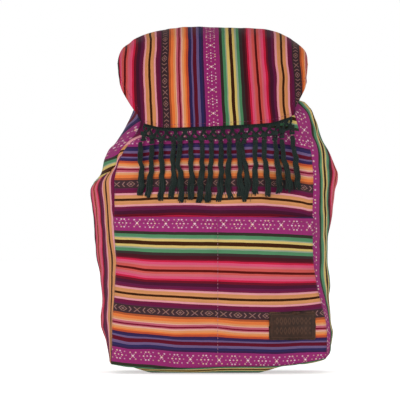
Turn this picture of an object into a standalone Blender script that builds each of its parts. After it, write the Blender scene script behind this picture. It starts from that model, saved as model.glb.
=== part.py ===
"""A drawstring backpack of striped woven cloth, with a fringed flap and a double front pocket.

Metres, +Z up. The front faces -Y, and +X is to the right of someone who looks at the front.
The origin is on the floor, under the middle of the bag.
"""

import math

import bmesh
import bpy
import numpy as np
from mathutils import Matrix, Vector
from mathutils.bvhtree import BVHTree

# Cloth and clearances
CLOTH = 0.0015
LINING = 0.001
SEAM_GAP = 0.0003
EASE = 0.0006
LINING_EASE = 0.004
WEBBING = 0.0015

# Heights of the body, each above the one before
BASE_SEAM_Z = 0.006
POCKET_HEIGHT = 0.1925
BELLY_RISE = 0.0415
SHOULDER_RISE = 0.065
GATHER_RISE = 0.023
NECK_RISE = 0.044
CORD_RISE = 0.012
COLLAR_RISE = 0.036
CORNER_RISE = 0.009
CORNER_SLANT = 0.005

POCKET_TOP_Z = BASE_SEAM_Z + POCKET_HEIGHT
BELLY_Z = POCKET_TOP_Z + BELLY_RISE
SHOULDER_Z = BELLY_Z + SHOULDER_RISE
GATHER_Z = SHOULDER_Z + GATHER_RISE
PANEL_TOP_Z = GATHER_Z + NECK_RISE
CORD_Z = PANEL_TOP_Z + CORD_RISE
COLLAR_TOP_Z = CORD_Z + COLLAR_RISE

# Half widths of the body, at the front seams and at its widest
BASE_HALF = 0.138
FRONT_HALF = 0.127
SHOULDER_HALF = 0.101
BELLY_HALF = 0.1575
SIDE_HALF = 0.143
NECK_HALF = 0.118

# Depths of the body
FRONT_SEAM_Y = -0.048
BACK_SEAM_Y = 0.052
FRONT_BULGE = 0.024
BACK_BULGE = 0.009
FLAT_INSET = 0.026
FLOOR_INSETS = (1.6, 1.0, 0.4)
FLOOR_LIFT = 0.3
BACK_REACH = 0.86
CORNER_ROUNDING = 90

# The gathered mouth
THROAT_Y = 0.002
THROAT_HALF_X = 0.056
THROAT_HALF_Y = 0.035
RUFFLE_HALF_X = 0.074
RUFFLE_HALF_Y = 0.036
PLEAT_DEPTH = 0.0045
RUFFLE_DEPTH = 0.0095

# How the soft body slumps sideways: the shift of its middle at some heights
SLUMP = [
    (0.0, 0.0),
    (0.25 * POCKET_TOP_Z, 0.001),
    (0.78 * POCKET_TOP_Z, -0.006),
    (BELLY_Z, -0.003),
    (GATHER_Z, 0.006),
    (PANEL_TOP_Z, 0.0),
]

# Grid columns in each panel
FRONT_COLUMNS = 12
SIDE_COLUMNS = 6
BACK_COLUMNS = 10

# Front pocket and leather patch
POCKET_SLACK = 0.011
PATCH_WIDTH = 0.059
PATCH_HEIGHT = 0.036
PATCH_THICKNESS = 0.002
PATCH_CORNER = 0.003
PATCH_X = 0.095
PATCH_Z = 0.061

# Flap
FLAP_CREST = 0.0195
FLAP_DROP = 0.1265
FLAP_SEAM_RISE = 0.018
FLAP_HALF = 0.1205
FLAP_EDGE_HALF = 0.096
FLAP_BACK_HALF = 0.088
FLAP_ARCH = 0.055
FLAP_CORNER_RISE = 0.009
FLAP_TILT = 0.045
FLAP_LEAN = -0.0057
FLAP_ROWS = 12
FLAP_COLUMNS = 14

# Magnetic snap between flap and body
SNAP_RADIUS = 0.007
SNAP_PLATE = 0.0021
SNAP_NOSE_RADIUS = 0.0032
SNAP_NOSE_SHARE = 0.45
SNAP_EDGE = 0.0006
SNAP_BELOW_EDGE = 0.017

# Fringe
TASSEL_COUNT = 17
TASSEL_PITCH = 0.0120
HEADER_ABOVE = 0.006
HEADER_BELOW = 0.006
HEADER_THICKNESS = 0.0016
NET_HEIGHT = 0.0165
NET_CORD = 0.0022
TASSEL_LENGTH = 0.071
TASSEL_FAN = 0.005
TASSEL_WIDTH = 0.0068
TASSEL_THICKNESS = 0.0042

# Drawstring, its casing and its lock
CORD_RADIUS = 0.002
CORD_SPREAD = 0.0023
CASING_HEIGHT = 0.018
CASING_CLOTH = 0.001
CASING_OPENING = 0.013
LOCK_LENGTH = 0.028
LOCK_DEPTH = 0.011
LOCK_HEIGHT = 0.013
LOCK_WALL = 0.003
PLUNGER_RADIUS = 0.0038
PLUNGER_TRAVEL = 0.003
PLUNGER_HEAD = 0.0045
PLUNGER_FIT = 0.0003
PLUNGER_TIP = 0.002
CORD_RUN = 0.036
CORD_RUN_DOWN = 0.010
CORD_RUN_TILT = 0.4
LOCK_DOWN = 0.013
LOCK_SHIFT = 0.003
LOCK_ROUNDING = 0.0022
LOCK_CUT = 0.05
CORD_END_HEIGHT = 0.008
CORD_END_MARGIN = 0.003
CORD_END_ROUNDING = 0.0012
SPRING_TURNS = 3
SPRING_WIRE = 0.00035
SPRING_EASE = 0.0006

# Carrying straps
STRAP_WIDTH = 0.056
STRAP_THICKNESS = 0.011
STRAP_TOP_X = 0.046
STRAP_TOP_RISE = 0.008
STRAP_END_X = 0.098
STRAP_DROP = 0.186
STRAP_END_SHARE = 0.32
STRAP_STAND = 0.046
STRAP_END_STAND = 0.026
WEBBING_WIDTH = 0.025
TAB_LEG = 0.006
BAR_HALF = 0.002
BAR_PITCH = 0.0105
LIP_DEPTH = 0.005
RAIL = 0.0032
BAR_EASE = 0.0004
SLOT_EASE = 0.0008
LIP_SLOT = 0.006
LIP_CORNER = 0.0016
ANCHOR_X = 0.108
ANCHOR_TOE = 0.004
ANCHOR_RISE = 0.012
ANCHOR_WIDTH = 0.040
ANCHOR_LENGTH = 0.036
ANCHOR_THICKNESS = 0.003
TAIL_END_Z = 0.052

# Grab loop
GRAB_WIDTH = 0.020
GRAB_LENGTH = 0.078
GRAB_OPEN = 0.012
GRAB_LEG = 0.014

# The stripes of the cloth: colour and width, in the order in which they repeat
COLOURS = {
    "magenta": (0.30, 0.045, 0.14),
    "moss": (0.045, 0.060, 0.035),
    "green": (0.085, 0.24, 0.11),
    "yellow": (0.60, 0.45, 0.13),
    "brown": (0.060, 0.018, 0.004),
    "maroon": (0.060, 0.008, 0.018),
    "red": (0.50, 0.020, 0.045),
    "pink": (0.68, 0.085, 0.18),
    "salmon": (0.54, 0.090, 0.060),
    "purple": (0.115, 0.010, 0.040),
    "peach": (0.62, 0.26, 0.11),
    "blush": (0.68, 0.26, 0.30),
    "umber": (0.13, 0.065, 0.060),
    "orange": (0.70, 0.16, 0.040),
    "cream": (0.76, 0.38, 0.26),
    "navy": (0.035, 0.020, 0.090),
    "mauve": (0.16, 0.11, 0.26),
}
STRIPES = [
    ("magenta", 0.0185),
    ("moss", 0.003),
    ("green", 0.005),
    ("yellow", 0.0045),
    ("brown", 0.0045),
    ("yellow", 0.0045),
    ("green", 0.005),
    ("maroon", 0.008),
    ("red", 0.004),
    ("pink", 0.005),
    ("salmon", 0.003),
    ("maroon", 0.003),
    ("salmon", 0.003),
    ("pink", 0.005),
    ("red", 0.0035),
    ("purple", 0.0115),
    ("peach", 0.005),
    ("brown", 0.003),
    ("peach", 0.006),
    ("purple", 0.0065),
    ("umber", 0.0095),
    ("orange", 0.0045),
    ("cream", 0.0045),
    ("purple", 0.002),
    ("cream", 0.004),
    ("orange", 0.005),
    ("mauve", 0.004),
    ("maroon", 0.0045),
    ("mauve", 0.003),
    ("navy", 0.0045),
]
REPEAT = sum(width for _, width in STRIPES)

# Where the pattern starts on the upper front, across the flap and on the left side
UPPER_BAND_DOWN = 0.019
FLAP_BAND_X = -0.0165
SIDE_BAND_LEAD = 0.045

COLLECTION = "Backpack"
CUTTERS = "Cutters"


# Numbers and points


def through(points, at):
    """The value at one place on a smooth curve through (place, value) points, with no overshoot."""
    places = np.array([p for p, _ in points], float)
    values = np.array([v for _, v in points], float)
    at = min(max(at, places[0]), places[-1])
    rises = np.diff(values) / np.diff(places)
    slopes = np.zeros(len(places))
    for i in range(1, len(places) - 1):
        if rises[i - 1] * rises[i] > 0:
            slopes[i] = 2 * rises[i - 1] * rises[i] / (rises[i - 1] + rises[i])
    slopes[0], slopes[-1] = rises[0], rises[-1]
    i = min(int(np.searchsorted(places, at, side="right")) - 1, len(places) - 2)
    span = places[i + 1] - places[i]
    t = (at - places[i]) / span
    return float(
        (1 + 2 * t) * (1 - t) ** 2 * values[i]
        + t * (1 - t) ** 2 * span * slopes[i]
        + t * t * (3 - 2 * t) * values[i + 1]
        + t * t * (t - 1) * span * slopes[i + 1]
    )


def smooth(low, high, at):
    """0 below low, 1 above high, and a smooth rise between them."""
    t = min(max((at - low) / (high - low), 0.0), 1.0)
    return t * t * (3 - 2 * t)


def even(line, count):
    """count points at even distances along a line of points, both ends included."""
    line = np.array(line, float)
    lengths = np.concatenate([[0], np.cumsum(np.linalg.norm(np.diff(line, axis=0), axis=1))])
    places = np.linspace(0, lengths[-1], count)
    return np.stack([np.interp(places, lengths, line[:, k]) for k in range(line.shape[1])], axis=1)


def smooth_line(points, count):
    """count points on a smooth curve through a few points in space."""
    points = np.array(points, float)
    lengths = np.concatenate([[0], np.cumsum(np.linalg.norm(np.diff(points, axis=0), axis=1))])
    dense = [
        [through(list(zip(lengths, points[:, k])), at) for k in range(3)]
        for at in np.linspace(0, lengths[-1], 8 * count)
    ]
    return even(dense, count)


# Grids of points, and the solids between them


def face_normals(grid, wrap):
    ahead = np.roll(grid, -1, axis=1) if wrap else grid[:, 1:]
    here = grid if wrap else grid[:, :-1]
    normals = np.cross(ahead[1:] - here[:-1], here[1:] - ahead[:-1])
    return normals / np.maximum(np.linalg.norm(normals, axis=-1, keepdims=True), 1e-12)


def offset(grid, distance, wrap=False):
    """The grid moved off itself, so that each of its faces moves by this distance along its normal."""
    normals = face_normals(grid, wrap)
    rows, columns = grid.shape[:2]
    moved = grid.copy()
    for r in range(rows):
        for c in range(columns):
            around = []
            for row in (r - 1, r):
                for column in (c - 1, c):
                    if wrap:
                        column %= columns
                    if 0 <= row < normals.shape[0] and 0 <= column < normals.shape[1]:
                        around.append(normals[row, column])
            moved[r, c] += np.linalg.lstsq(
                np.array(around), np.full(len(around), distance), rcond=0.12
            )[0]
    return moved


def trim(grid, left=0.0, right=0.0, bottom=0.0, top=0.0):
    """The grid with its borders drawn in along its own lines by these lengths."""
    grid = grid.copy()

    def drawn(edge, neighbour, length):
        step = neighbour - edge
        return edge + step * (length / np.linalg.norm(step, axis=-1, keepdims=True))

    if bottom:
        grid[0] = drawn(grid[0], grid[1], bottom)
    if top:
        grid[-1] = drawn(grid[-1], grid[-2], top)
    if left:
        grid[:, 0] = drawn(grid[:, 0], grid[:, 1], left)
    if right:
        grid[:, -1] = drawn(grid[:, -1], grid[:, -2], right)
    return grid


def grid_faces(rows, columns, wrap, start=0):
    """Two triangles for each square of a grid, all cut along the same diagonal."""
    faces = []
    for r in range(rows - 1):
        for c in range(columns if wrap else columns - 1):
            a = start + r * columns + c
            b = start + r * columns + (c + 1) % columns
            faces += [(a, b, b + columns), (a, b + columns, a + columns)]
    return faces


def border(rows, columns, wrap, closed_floor):
    """The edges of a grid's border as pairs of vertex numbers, each in the grid's own direction."""
    pairs = []
    around = [(c, (c + 1) % columns) for c in range(columns if wrap else columns - 1)]
    top = (rows - 1) * columns
    if not closed_floor:
        pairs += around
    pairs += [(top + a, top + b) for a, b in around]
    if not wrap:
        for r in range(rows - 1):
            low, high = r * columns, (r + 1) * columns
            pairs += [(low, high), (low + columns - 1, high + columns - 1)]
    return pairs


def shell(name, outer, inner, material, wrap=False, floor=False):
    """A closed solid between two grids. With floor, each grid's first row is filled flat."""
    rows, columns = outer.shape[:2]
    count = rows * columns
    faces = grid_faces(rows, columns, wrap)
    faces += [tuple(reversed(f)) for f in grid_faces(rows, columns, wrap, count)]
    for a, b in border(rows, columns, wrap, floor):
        faces += [(a, b, b + count), (a, b + count, a + count)]
    if floor:
        faces.append(tuple(reversed(range(columns))))
        faces.append(tuple(count + c for c in range(columns)))
    points = np.concatenate([outer.reshape(-1, 3), inner.reshape(-1, 3)])
    return make(name, points, faces, material)


def make(name, points, faces, material, origin=(0, 0, 0)):
    """A closed mesh object with its faces pointing out and its origin where it turns or hangs."""
    mesh = bpy.data.meshes.new(name)
    origin = Vector(origin)
    mesh.from_pydata([Vector(p) - origin for p in points], [], faces)
    work = bmesh.new()
    work.from_mesh(mesh)
    bmesh.ops.recalc_face_normals(work, faces=work.faces)
    work.to_mesh(mesh)
    work.free()
    piece = bpy.data.objects.new(name, mesh)
    piece.location = origin
    return finished(piece, material)


def finished(piece, material):
    piece.data.materials.clear()
    piece.data.materials.append(material)
    if piece.name not in bpy.data.collections[COLLECTION].objects:
        bpy.data.collections[COLLECTION].objects.link(piece)
    piece.data.shade_smooth()
    piece.data.set_sharp_from_angle(angle=math.radians(40))
    return piece


def tube_faces(rings):
    """The faces of a solid through rings of points, with its two ends filled."""
    rows, columns = rings.shape[:2]
    faces = grid_faces(rows, columns, True)
    faces.append(tuple(reversed(range(columns))))
    faces.append(tuple((rows - 1) * columns + c for c in range(columns)))
    return faces


def sweep(name, path, widths, depths, material, sides=8, square=False):
    """A flat or padded band along a path, with its width along X."""
    path = np.array(path, float)
    tangents = np.gradient(path, axis=0)
    tangents[:, 0] = 0
    tangents /= np.linalg.norm(tangents, axis=1, keepdims=True)
    across = np.array([1.0, 0.0, 0.0])
    rings = []
    for centre, tangent, width, depth in zip(path, tangents, widths, depths):
        out = np.cross(across, tangent)
        if square:
            corners = [(-1, -1), (1, -1), (1, 1), (-1, 1)]
        else:
            turns = [2 * math.pi * (k + 0.5) / sides for k in range(sides)]
            corners = [
                (
                    math.copysign(abs(math.cos(a)) ** 0.35, math.cos(a)),
                    math.copysign(abs(math.sin(a)) ** 0.8, math.sin(a)),
                )
                for a in turns
            ]
        rings.append([centre + across * u * width / 2 + out * v * depth / 2 for u, v in corners])
    rings = np.array(rings)
    return make(name, rings.reshape(-1, 3), tube_faces(rings), material)


def tree_of(grid, wrap=False):
    """A search tree of a grid's faces, to find where a line meets them."""
    rows, columns = grid.shape[:2]
    points = [Vector(p) for p in grid.reshape(-1, 3)]
    return BVHTree.FromPolygons(points, grid_faces(rows, columns, wrap))


def front_y(tree, x, z):
    """The y at which a line from the front, at this x and z, first meets a surface, if it does."""
    hit = tree.ray_cast(Vector((x, -1, z)), Vector((0, 1, 0)))[0]
    return hit.y if hit else math.inf


def nearest_front(tree, x, z, reach, reach_z=None):
    """The foremost y of a surface close to this x and z."""
    reach_z = reach if reach_z is None else reach_z
    return min(
        front_y(tree, x + du * reach, z + dz * reach_z) for du in (-1, 0, 1) for dz in (-1, 0, 1)
    )


def back_y(tree, x, z):
    hit = tree.ray_cast(Vector((x, 1, z)), Vector((0, -1, 0)))[0]
    return hit.y if hit else -math.inf


# Materials


def plain(name, colour, roughness, metallic=0.0):
    made = bpy.data.materials.new(name)
    made.use_nodes = True
    made.diffuse_color = (*colour, 1)
    shader = made.node_tree.nodes["Principled BSDF"]
    shader.inputs["Base Color"].default_value = (*colour, 1)
    shader.inputs["Roughness"].default_value = roughness
    shader.inputs["Metallic"].default_value = metallic
    return made


def striped(name, axis, start, direction):
    """Cloth whose stripes follow one another along an axis, from start, towards + or -."""
    made = plain(name, COLOURS["magenta"], 0.9)
    nodes, links = made.node_tree.nodes, made.node_tree.links
    place = nodes.new("ShaderNodeNewGeometry")
    split = nodes.new("ShaderNodeSeparateXYZ")
    links.new(place.outputs["Position"], split.inputs[0])
    turn = nodes.new("ShaderNodeMath")
    turn.operation = "MULTIPLY_ADD"
    turn.inputs[1].default_value = direction / REPEAT
    turn.inputs[2].default_value = -direction * start / REPEAT
    links.new(split.outputs[axis], turn.inputs[0])
    share = nodes.new("ShaderNodeMath")
    share.operation = "FRACT"
    links.new(turn.outputs[0], share.inputs[0])
    ramp = nodes.new("ShaderNodeValToRGB")
    ramp.color_ramp.interpolation = "CONSTANT"
    links.new(share.outputs[0], ramp.inputs[0])
    links.new(ramp.outputs[0], nodes["Principled BSDF"].inputs["Base Color"])
    at = 0.0
    for k, (colour, width) in enumerate(STRIPES):
        stop = ramp.color_ramp.elements[0] if k == 0 else ramp.color_ramp.elements.new(at)
        if k == 1:
            ramp.color_ramp.elements.remove(ramp.color_ramp.elements[-1])
        stop.position = at
        stop.color = (*COLOURS[colour], 1)
        at += width / REPEAT
    return made


# The skin of the body: one grid from the flat floor to the top edge of the ruffle


def widths_at(z):
    """Half widths of the body at a height: at the front seams, at the back seams and at its widest."""
    front = through(
        [
            (0.0, BASE_HALF),
            (0.25 * POCKET_TOP_Z, BASE_HALF),
            (0.58 * POCKET_TOP_Z, 0.2 * BASE_HALF + 0.8 * FRONT_HALF),
            (0.80 * POCKET_TOP_Z, FRONT_HALF),
            (BELLY_Z, 0.99 * FRONT_HALF),
            (BELLY_Z + 0.49 * SHOULDER_RISE, 0.95 * FRONT_HALF),
            (BELLY_Z + 0.78 * SHOULDER_RISE, (FRONT_HALF + SHOULDER_HALF) / 2),
            (SHOULDER_Z, SHOULDER_HALF),
            (GATHER_Z + 0.2 * NECK_RISE, 0.92 * SHOULDER_HALF),
            (PANEL_TOP_Z, 0.90 * SHOULDER_HALF),
        ],
        z,
    )
    widest = through(
        [
            (0.0, 1.01 * BASE_HALF),
            (0.23 * POCKET_TOP_Z, SIDE_HALF),
            (0.48 * POCKET_TOP_Z, SIDE_HALF),
            (0.78 * POCKET_TOP_Z, 0.72 * SIDE_HALF + 0.28 * BELLY_HALF),
            (POCKET_TOP_Z, 0.48 * SIDE_HALF + 0.52 * BELLY_HALF),
            (BELLY_Z, BELLY_HALF),
            (BELLY_Z + 0.37 * SHOULDER_RISE, 0.72 * BELLY_HALF + 0.28 * NECK_HALF),
            (BELLY_Z + 0.66 * SHOULDER_RISE, 0.50 * BELLY_HALF + 0.50 * NECK_HALF),
            (BELLY_Z + 0.92 * SHOULDER_RISE, 0.24 * BELLY_HALF + 0.76 * NECK_HALF),
            (SHOULDER_Z + 0.35 * GATHER_RISE, 0.09 * BELLY_HALF + 0.91 * NECK_HALF),
            (GATHER_Z, NECK_HALF),
            (PANEL_TOP_Z, 0.97 * NECK_HALF),
        ],
        z,
    )
    back = front + 0.75 * (widest - front)
    return front, back, widest


def depths_at(z):
    """The y of the front and back seams at a height, and how far each face bulges."""
    lean = smooth(BELLY_Z, GATHER_Z, z)
    fill = 0.45 + 0.55 * smooth(0, 0.6 * POCKET_TOP_Z, z)
    return (
        FRONT_SEAM_Y * (1 - 0.25 * lean),
        BACK_SEAM_Y * (1 - 0.12 * lean),
        FRONT_BULGE * fill,
        BACK_BULGE * fill,
    )


def body_outline(z):
    """Four lines of points round the body at a height: front, right side, back and left side."""
    front, back, widest = widths_at(z)
    seam_y, back_seam_y, bulge, back_bulge = depths_at(z)
    middle = through(SLUMP, z)
    shares = np.linspace(0, 1, 41)
    side_bulge = widest - (front + 0.6 * (back - front))
    side_x = front + (back - front) * shares + side_bulge * 4 * shares * (1 - shares)
    side_y = seam_y + (back_seam_y - seam_y) * shares
    dome = 1 - np.abs(2 * shares - 1) ** 2.4
    lines = [
        np.stack([-front + 2 * front * shares, seam_y - bulge * dome], axis=1),
        np.stack([side_x, side_y], axis=1),
        np.stack([back - 2 * back * shares, back_seam_y + back_bulge * dome], axis=1),
        np.stack([-side_x[::-1], side_y[::-1]], axis=1),
    ]
    for line in lines:
        line[:, 0] += middle
    return lines


def columns_at(z):
    """The points of one row of the body's grid, counted from the left front seam.

    On the left shoulder the back panel's cloth reaches forward past the side, so its seam moves.
    """
    front, right, back, left = body_outline(z)
    reach = through(
        [
            (0.72 * POCKET_TOP_Z, 0.0),
            (BELLY_Z, 0.6 * BACK_REACH),
            (BELLY_Z + 0.4 * SHOULDER_RISE, BACK_REACH),
            (SHOULDER_Z, BACK_REACH),
            (PANEL_TOP_Z, 0.3 * BACK_REACH),
        ],
        z,
    )
    around = even(np.concatenate([back, left[1:]]), 121)
    corner = int(np.argmin(np.linalg.norm(around - back[-1], axis=1)))
    for _ in range(int(CORNER_ROUNDING * reach)):
        around[1:-1] = (around[:-2] + 2 * around[1:-1] + around[2:]) / 4
    split = corner + int(round(reach * (len(around) - 1 - corner)))
    back, left = around[: split + 1], around[split:]
    row = [even(front, FRONT_COLUMNS + 1)[:-1]]
    row.append(even(right, SIDE_COLUMNS + 1)[:-1])
    row.append(even(back, BACK_COLUMNS + 1)[:-1])
    row.append(even(left, SIDE_COLUMNS + 1)[:-1])
    return np.concatenate(row)


def throat_at(z):
    """Half widths of the gathered mouth at a height."""
    points_x = [
        (PANEL_TOP_Z, 1.05 * THROAT_HALF_X),
        (CORD_Z, THROAT_HALF_X),
        (CORD_Z + 0.28 * COLLAR_RISE, 1.02 * THROAT_HALF_X),
        (COLLAR_TOP_Z, RUFFLE_HALF_X),
    ]
    points_y = [
        (PANEL_TOP_Z, 1.08 * THROAT_HALF_Y),
        (CORD_Z, THROAT_HALF_Y),
        (CORD_Z + 0.28 * COLLAR_RISE, THROAT_HALF_Y),
        (COLLAR_TOP_Z, RUFFLE_HALF_Y),
    ]
    return through(points_x, z), through(points_y, z)


def throat_columns(z):
    half_x, half_y = throat_at(z)
    count = FRONT_COLUMNS + SIDE_COLUMNS + BACK_COLUMNS + SIDE_COLUMNS
    turns = np.linspace(0, 2 * math.pi, 361)
    start = -math.pi / 2 - math.pi * FRONT_COLUMNS / count
    line = np.stack([half_x * np.cos(start + turns), THROAT_Y + half_y * np.sin(start + turns)], 1)
    return even(line, count + 1)[:-1]


def pleat_depth(z):
    return through(
        [
            (SHOULDER_Z - 0.3 * SHOULDER_RISE, 0.0),
            (GATHER_Z, 0.35 * PLEAT_DEPTH),
            (PANEL_TOP_Z, PLEAT_DEPTH),
            (CORD_Z, 0.8 * PLEAT_DEPTH),
            (COLLAR_TOP_Z, RUFFLE_DEPTH),
        ],
        z,
    )


def body_row(z, pleated):
    """One row of the body at a height. Every other column is pleated in, or all of them."""
    blend = smooth(GATHER_Z - 0.1 * NECK_RISE, PANEL_TOP_Z, z)
    if z >= PANEL_TOP_Z:
        flat = throat_columns(z)
    elif blend > 0:
        flat = (1 - blend) * columns_at(z) + blend * throat_columns(PANEL_TOP_Z)
    else:
        flat = columns_at(z)
    inward = np.array([through(SLUMP, z) * (1 - blend), THROAT_Y]) - flat
    inward /= np.linalg.norm(inward, axis=1, keepdims=True)
    depth = np.full(len(flat), pleat_depth(z))
    if pleated:
        depth[0::2] = 0
    flat = flat + inward * depth[:, None]
    return np.column_stack([flat, np.full(len(flat), z)])


def levels(*heights_and_steps):
    """Heights in even steps between the given ones. The first height itself isn't listed."""
    made = []
    low = heights_and_steps[0]
    for high, steps in heights_and_steps[1:]:
        made += [low + (high - low) * (k + 1) / steps for k in range(steps)]
        low = high
    return made


POCKET_ROWS = 4
BODY_ROWS = levels(
    BASE_SEAM_Z,
    (POCKET_TOP_Z, POCKET_ROWS),
    (BELLY_Z, 2),
    (SHOULDER_Z, 3),
    (GATHER_Z, 1),
    (PANEL_TOP_Z, 3),
)
COLLAR_ROWS = levels(PANEL_TOP_Z, (CORD_Z, 1), (CORD_Z + CASING_HEIGHT / 2, 1), (COLLAR_TOP_Z, 1))


def skin(pleated=True):
    """The body's whole outer surface. Its first four rows run from the flat floor to the base seam."""
    base = body_row(BASE_SEAM_Z, pleated)
    middle = through(SLUMP, 0)
    side = (base[:, 0] - middle) / BASE_HALF
    base[:, 2] = BASE_SEAM_Z + (CORNER_RISE + CORNER_SLANT * np.sign(side)) * np.abs(side) ** 2.5
    rows = []
    for share, lift in zip(FLOOR_INSETS, (0.0, 0.0, FLOOR_LIFT)):
        inset = share * FLAT_INSET
        row = base.copy()
        row[:, 0] = middle + (base[:, 0] - middle) * (1 - inset / BASE_HALF)
        row[:, 1] = base[:, 1] * (1 - inset / BACK_SEAM_Y)
        row[:, 2] = base[:, 2] * lift
        rows.append(row)
    rows.append(base)
    rows += [body_row(z, pleated) for z in BODY_ROWS + COLLAR_ROWS]
    return np.array(rows)


FLOOR_ROWS = 3


def panel_columns():
    """The first and last column of each panel."""
    ends = np.cumsum([0, FRONT_COLUMNS, SIDE_COLUMNS, BACK_COLUMNS, SIDE_COLUMNS])
    names = ["front_panel", "side_panel_right", "back_panel", "side_panel_left"]
    return {name: (int(a), int(b)) for name, a, b in zip(names, ends[:-1], ends[1:])}


def taken(grid, first, last):
    """Columns first to last of a grid that runs round, both included."""
    columns = [c % grid.shape[1] for c in range(first, last + 1)]
    return grid[:, columns]


def body_panels(outer, materials):
    """The four upright panels and the bottom, mitred where they are sewn together."""
    inner = offset(outer, -CLOTH, wrap=True)
    top = FLOOR_ROWS + len(BODY_ROWS)
    half = SEAM_GAP / 2
    for name, (first, last) in panel_columns().items():
        cut = [
            trim(taken(g, first, last)[FLOOR_ROWS : top + 1], half, half, half, half)
            for g in (outer, inner)
        ]
        shell(name, cut[0], cut[1], materials[name])
    cut = [trim(g[: FLOOR_ROWS + 1], top=half) for g in (outer, inner)]
    shell("bottom_panel", cut[0], cut[1], materials["bottom_panel"], wrap=True, floor=True)
    cut = [trim(g[top:], bottom=half) for g in (outer, inner)]
    shell("mouth_collar", cut[0], cut[1], materials["mouth_collar"], wrap=True)


def lining(material):
    """The inner bag, sewn in at the throat. It follows every second column."""
    top = FLOOR_ROWS + len(BODY_ROWS)
    guide = skin(pleated=False)[: top + 1, ::2]
    guide = np.delete(guide, [FLOOR_ROWS - 1, FLOOR_ROWS + 2, top - 3], axis=0)
    sewn = np.zeros((len(guide), 1, 1))
    sewn[-2:] = 1.0
    loose, tight = CLOTH + LINING_EASE, CLOTH + EASE
    outer, inner = (
        (1 - sewn) * offset(guide, -loose - depth, True) + sewn * offset(guide, -tight - depth, True)
        for depth in (0.0, LINING)
    )
    return shell("lining", outer, inner, material, wrap=True, floor=True)


def front_pocket(outer, material):
    """One cloth over both pockets, sewn down at its sides, its floor and along its middle."""
    first, last = panel_columns()["front_panel"]
    cloth = taken(outer, first, last)[FLOOR_ROWS : FLOOR_ROWS + POCKET_ROWS + 1]
    rows, columns = cloth.shape[:2]
    middle = (columns - 1) // 2
    out = face_normals(cloth, False)
    under, over = cloth.copy(), cloth.copy()
    for r in range(rows):
        fill = math.sin(math.pi * min(r / (rows - 1), 1.0) * 0.62) if r else 0.0
        for c in range(columns):
            near = out[max(r - 1, 0) : r + 1, max(c - 1, 0) : c + 1].reshape(-1, 3).mean(axis=0)
            slack = POCKET_SLACK * fill * math.sin(math.pi * (c % middle) / middle) ** 0.8
            under[r, c] += near * (SEAM_GAP + slack)
            over[r, c] += near * (SEAM_GAP + slack + CLOTH)
    half = SEAM_GAP / 2
    under, over = (trim(g, half, half, half) for g in (under, over))
    shell("front_pocket", over, under, material)
    return over


def leather_patch(pocket, material):
    """A leather patch sewn near the pocket's lower right corner. It follows the cloth."""
    tree = tree_of(pocket)
    across = np.linspace(-PATCH_WIDTH / 2, PATCH_WIDTH / 2, 6)
    across = np.insert(across, [1, 5], [across[0] + PATCH_CORNER, across[-1] - PATCH_CORNER])
    up = np.array([-PATCH_HEIGHT / 2, PATCH_CORNER - PATCH_HEIGHT / 2, 0.0])
    up = np.concatenate([up, -up[1::-1]])
    under = np.zeros((len(up), len(across), 3))
    for r, v in enumerate(up):
        for c, u in enumerate(across):
            if abs(v) == PATCH_HEIGHT / 2 and abs(u) == PATCH_WIDTH / 2:
                u, v = (math.copysign(abs(w) - 0.3 * PATCH_CORNER, w) for w in (u, v))
            x, z = PATCH_X + u, PATCH_Z + v
            under[r, c] = (x, nearest_front(tree, x, z, PATCH_CORNER) - EASE, z)
    return shell("leather_patch", offset(under, PATCH_THICKNESS), under, material)


# The flap and what hangs from it


def flap_edge_z(x):
    return COLLAR_TOP_Z + FLAP_CREST - FLAP_DROP + FLAP_TILT * x


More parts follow.
